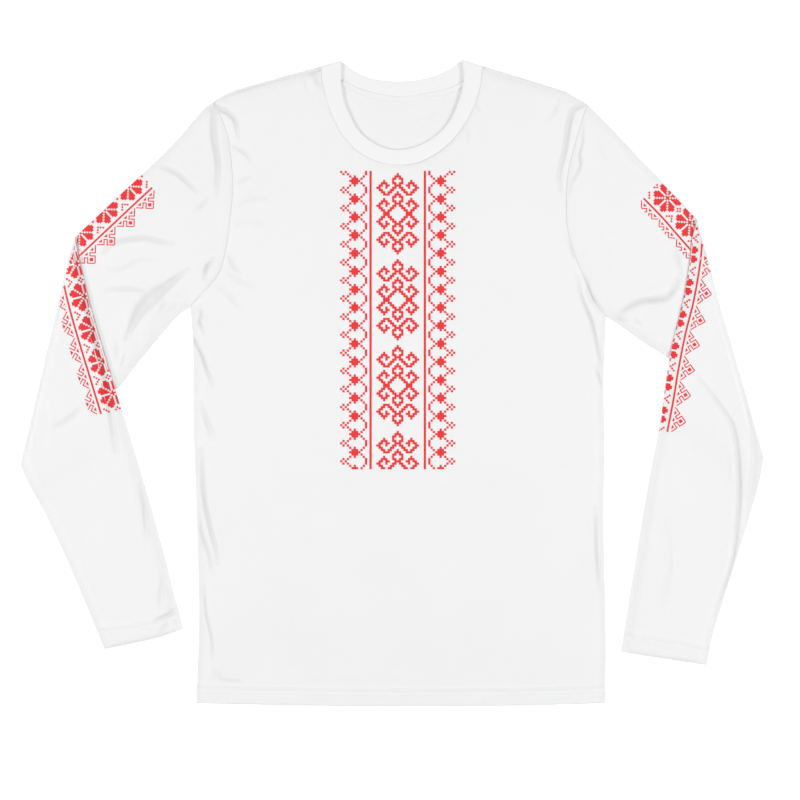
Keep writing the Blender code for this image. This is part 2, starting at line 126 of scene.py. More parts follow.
# Creases. Columns: path, half width at its start, half width at its end, height (below 0 is a trough),
# and how much wider it is on the left of the path.
FRONT_CREASES = (
    (
        (
            (-212, 312), (-193, 303), (-187, 300.5), (-180, 297), (-173, 290), (-169, 272),
        ),
        4.2, 2.8, -1.98, 1.0,
    ),
    (((-191.5, 296), (-187, 286)), 2.4, 2.0, -1.36, 1.0),
    (((-177.5, 262), (-163, 254), (-156, 246)), 2.4, 3.4, -1.05, 1.0),
    (((-206, 305), (-178, 318.5), (-157, 325.3), (-120, 335.5), (-104, 340)), 2.4, 1.6, -1.2, 1.0),
    (((-112, 338), (-98, 342), (-82, 346.5), (-64, 351)), 1.6, 2.2, -1.0, 1.0),
    (((-96, 339), (-80, 344.5), (-60, 349)), 2.2, 2.2, -1.35, 1.0),
    (((-87, 344), (-79, 324.5)), 3.6, 2.4, -1.2, 1.0),
    (((-98, 338), (-92, 318)), 3.0, 2.4, -0.6, 1.0),
    (((-170, 220.5), (-155, 228)), 3.0, 3.0, -0.75, 1.0),
    (((-172, 196), (-150, 204), (-132, 202)), 3.4, 3.4, -0.52, 1.0),
    (((-176, 172), (-156, 178), (-138, 172)), 3.4, 3.4, -0.52, 1.0),
    (((-180, 142), (-175.5, 130), (-168, 122)), 3.0, 2.6, -1.2, 1.0),
    (((-186, 128), (-168, 112), (-150, 106)), 3.4, 4.0, -0.75, 1.0),
    (((-196, 112), (-178, 96), (-166, 80)), 3.6, 4.0, -0.75, 1.0),
    (((-211.5, 84), (-209.5, 74), (-211.5, 68), (-206.5, 54)), 2.6, 2.2, -1.49, 1.0),
    (((-224, 58), (-214, 42), (-208, 28.5), (-204, 16.5), (-196, -2)), 2.8, 3.0, -1.8, 0.8),
    (((-211, -23), (-204, -42), (-197, -61.5)), 3.0, 3.0, -1.2, 1.4),
    (
        (
            (-210, -73.5), (-207, -125.5), (-201.5, -153), (-194.5, -179.5), (-191.5, -198),
        ),
        3.0, 2.6, -1.65, 1.2,
    ),
    (((-213.3, -141), (-207.4, -172.5), (-201.5, -189), (-198, -209)), 3.0, 2.6, -1.3, 1.0),
    (((-206, -222), (-204.5, -252), (-201.5, -266), (-198, -282.5), (-196.5, -303)), 2.4, 1.9, -1.33, 0.8),
    (((-194.5, -315.5), (-187, -326.5), (-165, -329)), 3.0, 2.4, -0.9, 1.0),
    (
        (
            (227, 322), (212, 308), (199, 300), (194.5, 286), (192, 268.5), (189.5, 254), (184, 230),
            (186, 212),
        ),
        4.6, 3.2, -1.7, 0.9,
    ),
    (((185, 315.5), (179, 300), (172, 288)), 2.4, 3.0, -0.9, 1.0),
    (((203, 117), (209, 92), (219, 68), (225, 42), (231, 10)), 2.6, 2.4, -1.55, 1.0),
    (((194, 158), (197, 146), (200, 136)), 1.8, 1.8, -1.05, 1.0),
    (((209, 116), (220, 90), (231, 74)), 2.6, 2.6, -0.8, 1.0),
    (((224.5, 17.5), (230, -5.5)), 2.6, 2.0, -1.35, 1.0),
    (((223.5, -136.5), (224.5, -187), (228, -229)), 2.8, 2.6, -1.35, 1.0),
    (((82.5, 280.5), (84.5, 262)), 2.4, 2.0, -0.75, 1.0),
    (((90, 307), (98, 298)), 2.2, 2.0, -0.75, 1.0),
    (((-150, -325), (-60, -322), (60, -326)), 9.0, 9.0, 0.3, 1.0),
)
RIGHT_UPPER_CREASES = (
    (
        (
            (-191, 324), (-195, 300), (-196.5, 285), (-195.5, 268), (-192.5, 249), (-191.5, 235.5),
            (-193, 208),
        ),
        4.4, 3.4, -1.75, 1.0,
    ),
    (((-204, 299), (-195.5, 305)), 2.2, 2.0, -1.3, 1.0),
    (((-187, 284), (-184.5, 245.5), (-183, 205)), 2.6, 3.0, 0.5, 1.0),
    (((-224, 125), (-241, 112), (-256, 100), (-274, 84)), 2.0, 10.0, -1.9, 1.0),
    (((-258, 99), (-272, 86.5), (-282.5, 70), (-292, 48)), 9.5, 3.2, -1.9, 1.0),
    (((-224, 108), (-246, 86), (-262, 70), (-276, 36)), 6.0, 7.0, 1.2, 1.0),
    (((-257, 240), (-236, 230), (-214.5, 211)), 3.4, 2.8, -1.35, 1.0),
    (((-217, 190), (-209, 196), (-202, 203.5)), 3.0, 2.6, -1.05, 1.0),
    (
        (
            (-316, 143), (-308.5, 152.5), (-291, 157), (-273, 159), (-253, 155), (-241, 154),
        ),
        2.8, 2.8, -1.5, 1.3,
    ),
    (((-312.5, 125.5), (-302, 124.5), (-291, 128.5), (-278, 135), (-257, 136)), 2.8, 2.4, -0.9, 1.0),
    (((-315, 100), (-307, 103), (-283.5, 102.5), (-265, 99)), 3.0, 2.6, -1.2, 1.0),
    (((-303, 43), (-302, 26)), 3.0, 2.6, -0.9, 1.0),
    (((-292.5, 31), (-297, 19)), 2.6, 2.4, -0.75, 1.0),
    (((-249, 90.5), (-257, 76)), 2.6, 2.4, -0.9, 1.0),
    (((-196, 135.5), (-203.5, 127.5), (-206, 115.5)), 3.0, 2.6, -1.74, 1.0),
    (((-222, 70), (-238, 62), (-250, 52)), 3.0, 2.6, -0.9, 1.0),
)
RIGHT_LOWER_CREASES = (
    (
        (
            (-352, 156), (-345, 128), (-338.5, 100), (-333, 74), (-325, 44), (-317, 12), (-311, -20),
            (-303, -76),
        ),
        3.4, 3.8, -1.9, 1.1,
    ),
    (((-276, -112), (-272, -140), (-269.5, -171.5)), 3.4, 3.0, -1.05, 1.4),
    (((-252, -212.5), (-255, -247.5)), 3.4, 3.4, -0.9, 1.0),
    (((-373, -49.5), (-356, -40), (-340, -26.5)), 3.4, 3.0, -1.05, 1.0),
    (((-262, -262), (-248, -256.5), (-237, -250)), 1.8, 4.0, -1.8, 1.0),
    (((-244, -262), (-256, -277)), 3.0, 3.4, -0.9, 1.0),
    (((-382, 10), (-372, -40), (-380, -90)), 6.0, 6.0, 0.4, 1.0),
)
LEFT_UPPER_CREASES = (
    (
        (
            (209.5, 286), (209, 264), (206, 252.5), (207, 241), (203, 230), (197, 220), (194.5, 207),
        ),
        2.2, 1.9, -1.27, 1.0,
    ),
    (((241, 275), (262, 250), (276, 233), (287, 221)), 2.4, 3.2, -0.5, 1.0),
    (((224, 264), (236, 243)), 2.6, 2.6, -0.45, 1.0),
    (((211, 119), (219, 96), (231, 79)), 3.4, 3.0, -1.2, 1.0),
    (((244, 69.5), (258.5, 69.5)), 2.4, 2.0, -0.9, 1.0),
    (
        (
            (246, 73), (258, 82), (273, 89), (290.5, 91.5), (301, 93), (310, 103), (317, 120),
        ),
        3.0, 3.4, -1.7, 1.2,
    ),
    (((310, 148), (316, 124)), 4.0, 4.0, -1.05, 1.0),
    (((266, 69.5), (273, 64)), 2.2, 2.0, -0.9, 1.0),
    (((222, 180), (240, 150), (246, 118)), 8.0, 8.0, 0.5, 1.0),
)
LEFT_LOWER_CREASES = (
    (
        (
            (337.5, 3.5), (361, -26.5), (375, -49.5), (381.5, -102.5), (380.5, -153), (374, -198),
            (354, -257.5),
        ),
        4.0, 3.4, -1.5, 0.8,
    ),
    (((332, 190), (340, 160), (347, 135), (354, 108)), 3.4, 3.0, -1.7, 1.0),
    (((326, 128), (321, 96), (314, 60)), 2.0, 2.0, -0.75, 1.0),
    (((372, 60), (382, 15), (392, -25), (398, -60), (397, -100), (389, -150)), 3.6, 5.0, -1.2, 1.0),
    (((300, -150), (304, -200), (296, -250)), 5.0, 5.0, -0.45, 1.0),
)
# Columns: side, cut, creases of both halves, and the seed of the cloth's unevenness
SLEEVES = (
    ("right", RIGHT_SLEEVE, {"upper": RIGHT_UPPER_CREASES, "lower": RIGHT_LOWER_CREASES}, 41),
    ("left", LEFT_SLEEVE, {"upper": LEFT_UPPER_CREASES, "lower": LEFT_LOWER_CREASES}, 61),
)
BACK_INSIDE_CREASES = ((((9, 280.5), (28.5, 287), (44, 292.5), (58.5, 300.5)), 3.0, 2.4, 0.5, 1.0),)
BACK_UNDER_CREASES = (
    (((-208, 90), (-190, 30), (-196, -60)), 5.0, 4.0, 0.8, 1.0),
    (((214, 80), (205, 20), (212, -70)), 5.0, 4.0, 0.8, 1.0),
    (((-150, 290), (-120, 240), (-130, 180)), 5.0, 4.0, 0.6, 1.0),
    (((150, 280), (128, 220), (140, 150)), 5.0, 4.0, 0.6, 1.0),
    (((-190, -180), (-150, -260), (-90, -300)), 6.0, 5.0, 0.6, 1.0),
    (((30, 60), (-10, -40), (20, -150)), 7.0, 6.0, 0.4, 1.0),
)

# The chest print, charted on square cells. Rows run down, and a hash is ink.
# The side band repeats down and is mirrored on the other side of the column.
SIDE_BAND = (
    "....#####...",
    ".....###.#..",
    "....#.#...#.",
    ".#.#.......#",
    "#.#........#",
    ".#.#.......#",
    "....#.#...#.",
    ".....###.#..",
)
BAND_START = 4  # the row of the band's repeat at the print's top
BAND_INNER = 14  # the band's innermost column, counted from the middle
RULE_COLUMN = 12
CHEST_ROWS = 132
# One horned figure: the inked columns of each row, mirrored about the middle column
HORNED_FIGURE = (
    (0,),
    (0, 1),
    (1, 2),
    (2, 6),
    (1, 2, 5, 6, 7),
    (0, 1, 4, 5, 7, 8),
    (1, 2, 5, 8, 9),
    (2, 3, 7, 8),
    (3, 4, 6, 7),
    (4, 5, 6),
)
FIGURE_STEP = 8  # the second figure starts this many rows below the first
FIGURE_GROUP = 36  # rows of two figures and their mirrored pair
GROUP_PITCH = 38
FIRST_GROUP = 1
CHEST_TOP = (6.3, 233.3)  # the middle of the print's upper edge

# The sleeve print. Petal: the inked columns of each row below the rosette's middle, mirrored and turned.
PETAL = {2: (1,), 3: (1, 2), 4: (1, 2, 3), 5: (1, 2, 3, 4), 6: (1, 2, 3, 4), 7: (2, 3)}
ROSETTE_PITCH = 18  # cells
ROSETTES = 8
LINK_CELLS = ((8, 0), (10, 0), (9, 1), (9, 5), (8, 6), (10, 6), (7, 7), (11, 7))
HALF_CELL = ((-0.5, -0.5), (0.5, -0.5), (0.5, 0.5), (-0.5, 0.5))  # a square's corners from its middle
RULE_AT = 9.3  # cells from the middle line to each rule
MEANDERS = 10
MEANDER_CELL = 1.16
MEANDER_TOP = 3.3  # from the rule's middle to the meander's top
MEANDER_DEPTH = 14.5
# The meander's line on its own cells, turned 45 degrees, counted from its lowest tip
MEANDER_LINE = ((0, 17), (0, 10), (5, 10), (5, 7), (0, 7), (0, 0), (7, 0), (7, 5), (10, 5), (10, 0), (17, 0))
MEANDER_SQUARE = (3.5, 3.5, 3.2)
MEANDER_TRIANGLES = ((2, 12), (7.2, 7.2), (12, 2))
TRIANGLE_LEG = 3.2
# Columns: where the print starts, from the shoulder point along the sleeve's top edge; its start before the
# forearm's print line, and how much it is drawn together there; how far its middle line lies to the front of
# the top edge on the upper arm and of the print line on the forearm; and its reach to the front and back
PRINT_PLACES = {
    "right": (115.0, -99.4, 1.0, 0.0, -3.6, 36.9, 31.4),
    "left": (117.6, -70.2, 0.972, 8.8, 8.8, 28.7, 36.9),
}
INSIDE_START = 3.2  # how far from the elbow fold the print's hidden part starts
PRINT_SPARE = 6.0  # how far the print is laid out past the print line, up to the forearm's edge

# Heights and depths of the laid cloth
TUBE = 2.7  # a flattened sleeve
LAYER_GAP = 0.3
FOLD_LIFT = TUBE + LAYER_GAP  # the lower sleeve's underside on the upper sleeve
FOLD_RADIUS = TUBE + LAYER_GAP / 2
DROP_START = 14.0
DROP_LENGTH = 42.0
FLOOR_GAP = 0.15
FRONT_TOP = 2.9
FRONT_CROWN = 1.7
CROWN_REACH = 14.0
FRONT_LOWEST = 1.42
SLEEVE_CROWN = 1.5
FREE_ROLL = 1.1  # the rounding of a free edge
SEAM_DEPTH = 0.22  # how deep an edge dips into a seam
SEAM_REACH = 0.65
HEART_DEPTH = 1.6  # a trough this deep gets the full painted shade in its heart
# Painted shade beside seams and edges, darker colour where shade falls. Columns: how far it reaches, and its
# most as a share of a heart's
SEAM_SHADE = (0.95, 1.0)
FREE_SHADE = (1.3, 0.9)
WIDE_SHADE = (9.0, 0.45)
LINE_SHADE = (1.3, 0.2)
CUFF_SHADE = (1.3, 0.5)
# Painted shadow that the forearm's inner edge casts on the upper sleeve: its strength as a share of a
# heart's, and its fade
FOREARM_SHADOW = 1.1
FOREARM_FADE = 0.9
FOREARM_PINCH = 0.42  # how much thinner the lower sleeve is at its edges
PINCH_REACH = 11.0
BAND_TOP = 2.8
BAND_RISE = 1.3  # how much higher the band stands at the shoulders than at the throat
BAND_SWELL = 0.45
HEM_LINE = 15.3  # the hem's seam line, from its edge
LINE_RISE = 0.35  # the step up to the doubled cloth at a hem's seam line
LINE_GROOVE = 0.4
LINE_GROOVE_WIDTH = 0.95
# Soft swellings beside a seam. Columns: height, distance from the seam, and width
LINE_LIP = (0.34, 4.4, 1.7)
SEAM_PUFF = (0.16, 3.4, 1.8)
# Creases, counted in half widths: how far one is felt, and its lip's height, place and width
CREASE_REACH = 3.4
CREASE_LIP = (0.14, 2.1, 0.9)
HEART_EDGE = 1.2  # where a heart's painted shade ends
HEART_FADE = 0.42
EDGE_ROWS = (0.12, 0.4, 0.75)  # rows that follow a rounded edge, from the edge
SIDE_PARTS = (16, 13, 6)  # shares of a panel's side: side seam, armhole and shoulder
SEAM_GAP = 0.02


def steps(count):
    return np.linspace(0, 1, count + 1)


def smooth_step(t):
    t = np.clip(t, 0, 1)
    return t * t * (3 - 2 * t)


def walked(line):
    """How far along the line each of its points lies."""
    return np.concatenate([[0], np.cumsum(np.linalg.norm(np.diff(line, axis=0), axis=1))])


def through(points):
    """A smooth curve through the points, as a function of the share of its length from 0 to 1."""
    knots = np.array(points, float)
    ends = np.concatenate([[2 * knots[0] - knots[1]], knots, [2 * knots[-1] - knots[-2]]])
    pieces = []
    for before, start, end, after in zip(ends[:-3], ends[1:-2], ends[2:-1], ends[3:]):
        t = np.linspace(0, 1, 16, endpoint=False)[:, None]
        span = np.linalg.norm(end - start)
        leave = (end - before) * span / (span + np.linalg.norm(start - before))
        arrive = (after - start) * span / (np.linalg.norm(after - end) + span)
        pieces.append(
            (2 * t**3 - 3 * t**2 + 1) * start
            + (t**3 - 2 * t**2 + t) * leave
            + (3 * t**2 - 2 * t**3) * end
            + (t**3 - t**2) * arrive
        )
    line = np.concatenate(pieces + [knots[-1:]])
    along = walked(line)

    def at(t):
        place = np.asarray(t) * along[-1]
        return np.stack([np.interp(place, along, line[:, axis]) for axis in (0, 1)], axis=-1)

    at.length = along[-1]
    return at


def moved_out(line, distance):
    """The line moved to its left by the distance."""
    along = np.gradient(line, axis=0)
    along /= np.linalg.norm(along, axis=1)[:, None]
    return line + distance * np.stack([-along[:, 1], along[:, 0]], axis=1)


def patch(low, high, start, end, u, v):
    """The grid of points inside four lines. low and high run along u, start and end along v."""
    u = u[None, :, None]
    v = v[:, None, None]
    across = (1 - v) * low[None] + v * high[None]
    along = (1 - u) * start[:, None] + u * end[:, None]
    corners = (1 - v) * ((1 - u) * low[0] + u * low[-1]) + v * ((1 - u) * high[0] + u * high[-1])
    return across + along - corners


def beside(line, places):
    """For each place: its distance to the line, the share of the line where it is nearest, and its side.

    The side is 1 on the left of the line and -1 on the right.
    """
    far = np.empty(len(places))
    share = np.empty(len(places))
    side = np.empty(len(places))
    lengths = (line**2).sum(axis=1)
    for first in range(0, len(places), 8000):
        some = places[first : first + 8000]
        nearest = (lengths[None] - 2 * some @ line.T).argmin(axis=1)
        best = np.full(len(some), np.inf)
        for shift in (-1, 0):
            at = np.clip(nearest + shift, 0, len(line) - 2)
            start = line[at]
            along = line[at + 1] - start
            out = some - start
            t = np.clip((out * along).sum(axis=1) / np.maximum((along**2).sum(axis=1), 1e-9), 0, 1)
            apart = np.linalg.norm(out - t[:, None] * along, axis=1)
            closer = apart < best
            best = np.where(closer, apart, best)
            here = slice(first, first + len(some))
            share[here] = np.where(closer, (at + t) / (len(line) - 1), share[here])
            turned = np.sign(along[:, 0] * out[:, 1] - along[:, 1] * out[:, 0])
            side[here] = np.where(closer, turned, side[here])
        far[first : first + len(some)] = best
    return far, share, side


def roll(apart, radius):
    """How far a rounded edge lies below its flat, at each distance from the edge."""
    inside = np.clip(radius - apart, 0, radius)
    return radius - np.sqrt(radius**2 - inside**2)


def seam_dip(apart):
    """How far cloth lies below its flat where it is drawn down into a seam."""
    return SEAM_DEPTH * np.clip(1 - apart / SEAM_REACH, 0, 1)


def near_creases(places, creases):
    """For each crease: the places near it, their half widths off its line, its strength and its height."""
    for path, start_width, end_width, rise, left_factor in creases:
        line = through(path)(steps(28))
        reach = CREASE_REACH * max(start_width, end_width) * max(left_factor, 1)
        near = ((places > line.min(axis=0) - reach) & (places < line.max(axis=0) + reach)).all(axis=1)
        if near.any():
            apart, share, side = beside(line, places[near])
            width = (start_width + (end_width - start_width) * share) * np.where(side > 0, left_factor, 1)
            strength = np.sin(np.pi * np.clip(share, 0.04, 0.96)) ** 0.5
            yield near, apart / width, strength, rise


def creased(places, creases, depth):
    """The height that the creases add at each place. A trough has straight walls and soft lips."""
    height = np.zeros(len(places))
    for near, q, strength, rise in near_creases(places, creases):
        height[near] += rise * depth * strength * (fold_wall(q) - swelling(q, *CREASE_LIP))
    return height


def trough_shading(places, creases):
    """The painted shade in the heart of each trough, from 0 to 1: darker colour where shade falls in a
    crease.
    """
    shade_levels = np.zeros(len(places))
    for near, q, strength, rise in near_creases(places, creases):
        if rise < 0:
            shade_level = smooth_step((HEART_EDGE - q) / HEART_FADE) * strength * min(1, -rise / HEART_DEPTH) ** 1.4
            shade_levels[near] = np.maximum(shade_levels[near], shade_level)
    return shade_levels


def edge_shade(apart, reach, most):
    """The painted shade beside a seam or an edge, at each distance from it."""
    return most * np.clip(1 - apart / reach, 0, 1)


def fold_wall(q):
    """1 on a crease's line, then a straight wall, rounded out to 0 just past the half width, where q is 1."""
    down = np.sqrt(q**2 + 0.04) - 0.2
    return 0.12 * np.log1p(np.exp((0.85 - down) / 0.12)) / 0.85


def settled(places, waves, height, seed):
    """Soft unevenness of cloth smoothed by hand: slightly bent waves in seeded directions."""
    chance = np.random.default_rng(seed)
    bent = places + 11 * np.sin(places[:, ::-1] / 47 + chance.uniform(0, 6))
    total = np.zeros(len(places))
    for length in waves:
        for _ in range(3):
            turn, start = chance.uniform(0, 2 * math.pi, 2)
            direction = np.array([math.cos(turn), math.sin(turn)])
            total += length / max(waves) * np.sin(bent @ direction * (2 * math.pi / length) + start)
    return height * total / math.sqrt(3 * len(waves))


def uneven(places, cloth, seed):
    """The unevenness of laid jersey: wide soft waves and faint small ones."""
    wide = settled(places, (64, 88, 125, 190), cloth.unevenness / MM, seed)
    small = settled(places, (15, 21, 30), cloth.unevenness / MM * 0.12, seed + 1)
    return wide + small


def swelling(apart, height, place, width):
    """A soft swelling beside a line, at each distance from it."""
    return height * np.exp(-(((apart - place) / width) ** 2))


def seam_line(places, line, towards_edge):
    """The relief along a hem's seam line: a step up to the doubled cloth, a groove, and a lip before it.

    towards_edge is the side of the line, 1 or -1, where the hem is.
    """
    apart, _, side = beside(line, places)
    past = apart * side * towards_edge
    groove = swelling(past, -LINE_GROOVE, 0, LINE_GROOVE_WIDTH)
    return LINE_RISE * smooth_step((past + 1.0) / 2.0) + groove + swelling(-past, *LINE_LIP)


# Meshes


def store_shading(piece, shade_levels):
    """Stores on each vertex how much painted shade darkens its base colour. Only cloth that faces up has any.
    """
    normals = np.empty(3 * len(piece.data.vertices))
    piece.data.vertices.foreach_get("normal", normals)
    filled = np.zeros(len(piece.data.vertices))
    filled[: len(shade_levels)] = shade_levels
    filled *= normals.reshape(-1, 3)[:, 2] > 0.2
    piece.data.attributes.new("painted_shade", "FLOAT", "POINT").data.foreach_set("value", filled)


def new_piece(name, points, faces, corner_places, finish):
    """A piece of the shirt. corner_places are cloth places in millimetres, one for each corner of each face.

    They become two UV maps: "cloth" in millimetres for the knit, and "OFBake", squeezed into one tile.
    """
    data = bpy.data.meshes.new(name)
    data.from_pydata((np.asarray(points) * MM).tolist(), [], faces)
    places = np.asarray(corner_places, float)
    low = places.min(axis=0)
    tile = 0.01 + 0.98 * (places - low) / (places - low).max()
    for layer, values in (("cloth", places), ("OFBake", tile)):
        data.uv_layers.new(name=layer).data.foreach_set("uv", values.ravel())
    data.shade_smooth()
    data.materials.append(finish)
    data.update()
    piece = bpy.data.objects.new(name, data)
    bpy.context.scene.collection.objects.link(piece)
    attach(piece, ROOT)
    return piece


def quads(rows, columns, closed):
    """Grid faces as vertex numbers, with the grid places of their corners."""
    wide = columns if closed else columns - 1
    row, column = np.meshgrid(np.arange(rows - 1), np.arange(wide), indexing="ij")
    after = (column + 1) % columns
    low = row * columns
    high = low + columns
    faces = np.stack([low + column, low + after, high + after, high + column], axis=-1).reshape(-1, 4)
    corner_rows = np.stack([row, row, row + 1, row + 1], axis=-1).reshape(-1, 4)
    corner_columns = np.stack([column, column + 1, column + 1, column], axis=-1).reshape(-1, 4)
    return faces, corner_rows, corner_columns


def skirted_piece(name, points, cloth_places, skirt, finish):
    """An open grid of cloth with its edge turned down and under.

    skirt has one row for each added loop: how far it is inset from the edge, and the highest that it lies.
    Rows run to the grid's left when columns run ahead, so the faces look up.
    """
    rows, columns = points.shape[:2]
    faces, corner_rows, corner_columns = quads(rows, columns, closed=False)
    loop = [(0, column) for column in range(columns)]
    loop += [(row, columns - 1) for row in range(1, rows)]
    loop += [(rows - 1, column) for column in range(columns - 2, -1, -1)]
    loop += [(row, 0) for row in range(rows - 2, 0, -1)]
    loop = np.array(loop)
    inner = np.stack([np.clip(loop[:, 0], 1, rows - 2), np.clip(loop[:, 1], 1, columns - 2)], axis=1)
    edge = points[loop[:, 0], loop[:, 1]]
    inward = points[inner[:, 0], inner[:, 1], :2] - edge[:, :2]
    inward /= np.linalg.norm(inward, axis=1)[:, None]
    vertices = [points.reshape(-1, 3)]
    all_faces = [faces]
    all_corners = [cloth_places[corner_rows, corner_columns]]
    upper = loop[:, 0] * columns + loop[:, 1]
    edge_cloth = cloth_places[loop[:, 0], loop[:, 1]]
    upper_cloth = edge_cloth
    count = rows * columns
    for number, (inset, height) in enumerate(skirt, 1):
        ring = np.column_stack([edge[:, :2] + inset * inward, np.minimum(height, edge[:, 2] - 0.1 * number)])
        lower = np.arange(count, count + len(loop))
        lower_cloth = edge_cloth - number * 1.2 * inward
        for made, above, below in ((all_faces, upper, lower), (all_corners, upper_cloth, lower_cloth)):
            corners = [above, below, np.roll(below, -1, axis=0), np.roll(above, -1, axis=0)]
            made.append(np.stack(corners, axis=1))
        vertices.append(ring)
        upper = lower
        upper_cloth = lower_cloth
        count += len(loop)
    return new_piece(
        name,
        np.concatenate(vertices),
        np.concatenate(all_faces).tolist(),
        np.concatenate(all_corners).reshape(-1, 2),
        finish,
    )


def outline_area(line):
    """The area inside a closed line, in square metres."""
    ahead = np.roll(line, -1, axis=0)
    return abs((line[:, 0] * ahead[:, 1] - ahead[:, 0] * line[:, 1]).sum()) / 2 * MM * MM


def spaced(length, fine, coarse, fine_reach):
    """Shares from 0 to 1: fine steps and the edge rows near both ends, and coarse steps between."""
    reach = fine_reach / length
    fine_count = max(2, round(fine_reach / fine))
    coarse_count = max(1, round((length - 2 * fine_reach) / coarse))
    start = np.linspace(0, reach, fine_count + 1)
    middle = np.linspace(reach, 1 - reach, coarse_count + 1)[1:-1]
    near = np.array(EDGE_ROWS) / length
    inside = np.concatenate([start, middle, 1 - start[::-1]])
    return np.unique(np.concatenate([inside, near, 1 - near]).round(7))


def body_side(curves, v):
    """A body panel's side from the hem over the armhole and the shoulder, at each share v of the panel."""
    joins = np.cumsum((0,) + SIDE_PARTS) / sum(SIDE_PARTS)
    line = np.empty((len(v), 2))
    for curve, low, high in zip(curves, joins[:-1], joins[1:]):
        inside = (v >= low - 1e-9) & (v <= high + 1e-9)
        line[inside] = through(curve)((v[inside] - low) / (high - low))
    return line


def body_rows(counts, hem_places):
    """Shares up a body panel that keep its corners, with more rows at the hem."""
    joins = np.cumsum((0,) + SIDE_PARTS) / sum(SIDE_PARTS)
    between = zip(joins[:-1], joins[1:], counts)
    stretches = [np.linspace(low, high, count + 1) for low, high, count in between]
    seam_length = through(RIGHT_SIDE).length
    near_hem = np.asarray(hem_places) / seam_length * joins[1]
    return np.unique(np.concatenate(stretches + [near_hem]).round(7))


def body_grid(neck_seam, u, v):
    """The plan of a body panel, and its outline."""
    hem = through(HEM)(u)
    neck = through(neck_seam)(u)
    right = body_side((RIGHT_SIDE, RIGHT_ARMHOLE, RIGHT_SHOULDER), v)
    left = body_side((LEFT_SIDE, LEFT_ARMHOLE, LEFT_SHOULDER), v)
    outline = np.concatenate([hem, left[1:], neck[::-1][1:], right[::-1][1:-1]])
    return patch(hem, neck, right, left, u, v), outline


def front_panel(cloth, finish):
    u = spaced(450, 1.1, 3.4, 44)
    v = body_rows((205, 150, 44), np.concatenate([EDGE_ROWS, np.arange(1.2, 26, 0.8)]))
    v = np.unique(np.concatenate([v, 1 - np.array(EDGE_ROWS + (1.4,)) / 600]).round(7))
    plan, outline = body_grid(FRONT_NECK_SEAM, u, v)
    places = plan.reshape(-1, 2)
    fine = steps(500)
    armholes = [through(RIGHT_ARMHOLE)(fine), through(LEFT_ARMHOLE)(fine)]
    neck = through(FRONT_NECK_SEAM)(fine)
    free = [through(line)(fine) for line in (HEM, RIGHT_SIDE, LEFT_SIDE, RIGHT_SHOULDER, LEFT_SHOULDER)]
    from_free = np.min([beside(line, places)[0] for line in free], axis=0)
    from_sides = np.min([beside(line, places)[0] for line in free[1:]], axis=0)
    from_seam = np.min([beside(line, places)[0] for line in armholes + [neck]], axis=0)
    relief = creased(places, FRONT_CREASES, cloth.crease_depth) + uneven(places, cloth, 11)
    relief *= smooth_step(np.minimum(from_free, from_seam) / 2.5)
    hem_line = moved_out(through(HEM)(fine), HEM_LINE)
    hem = seam_line(places, hem_line, -1) + hem_puckers(places, hem_line)
    crown = FRONT_CROWN * smooth_step(np.minimum(from_sides, from_seam + 5) / CROWN_REACH)
    height = FRONT_TOP + crown + relief + hem
    height += swelling(from_seam, *SEAM_PUFF)
    height -= roll(from_free, FREE_ROLL) + seam_dip(from_seam)
    height = np.maximum(height, FRONT_LOWEST).reshape(plan.shape[:2])
    piece = skirted_piece(
        "front_panel_cloth", np.dstack([plan, height]), plan, ((0.2, 1.45), (2.4, 1.36)), finish
    )
    # Painted shade in the base colour: in crease hearts, beside the seams and side edges, and along the hem's
    # seam line
    shades = [
        trough_shading(places, FRONT_CREASES),
        edge_shade(from_seam, *SEAM_SHADE),
        edge_shade(from_sides, *FREE_SHADE),
        edge_shade(from_sides, *WIDE_SHADE),
        edge_shade(beside(hem_line, places)[0], *LINE_SHADE),
    ]
    store_shading(piece, np.max(shades, axis=0))
    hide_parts("front_panel")
    return piece, outline_area(outline)


def hem_puckers(places, line):
    """Short slanted puckers that the hem's seam pulls in, the strongest on the wearer's left."""
    chance = np.random.default_rng(5)
    height = np.zeros(len(places))
    near = places[:, 1] < line[:, 1].max() + 30
    some = places[near]
    for number in range(26):
        x = -190 + 16 * number + chance.uniform(-4, 4)
        strength = chance.uniform(0.08, 0.2) * (1.4 if 20 < x < 210 else 0.6)
        y = np.interp(x, line[:, 0], line[:, 1])
        lean = chance.uniform(0.5, 1.4)
        path = ((x, y - 13), (x + 6 * lean, y - 3), (x + 15 * lean, y + 9))
        height[near] += creased(some, ((path, 1.9, 2.6, strength, 1.0),), 1.0)
    return height


def back_panel(cloth, finish):
    u = spaced(450, 3.0, 6.0, 18)
    v = body_rows((70, 44, 20), EDGE_ROWS + (14, 16.8, 18))
    plan, outline = body_grid(BACK_NECK_SEAM, u, v)
    places = plan.reshape(-1, 2)
    fine = steps(400)
    lines = (HEM, RIGHT_SIDE, LEFT_SIDE, RIGHT_ARMHOLE, LEFT_ARMHOLE, RIGHT_SHOULDER, LEFT_SHOULDER)
    from_edge = np.min([beside(through(line)(fine), places)[0] for line in lines], axis=0)
    under = creased(places, BACK_UNDER_CREASES, cloth.crease_depth) + np.abs(uneven(places, cloth, 23)) * 0.6
    under = np.maximum(under, 0) * smooth_step(from_edge / 8) * (places[:, 1] < 240)
    height = 0.95 + FLOOR_GAP + np.minimum(under, 0.3)
    height += creased(places, BACK_INSIDE_CREASES, cloth.crease_depth)
    height += 0.25 * smooth_step(1 - from_edge / 1.2)
    grid = np.dstack([plan, height.reshape(plan.shape[:2])])
    faces, corner_rows, corner_columns = quads(*plan.shape[:2], closed=False)
    piece = new_piece(
        "back_panel_cloth",
        grid.reshape(-1, 3),
        faces.tolist(),
        plan[corner_rows, corner_columns].reshape(-1, 2),
        finish,
    )
    wall = piece.modifiers.new("wall", "SOLIDIFY")
    wall.thickness = 0.9 * MM
    wall.offset = -1
    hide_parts("back_panel")
    return piece, outline_area(outline)


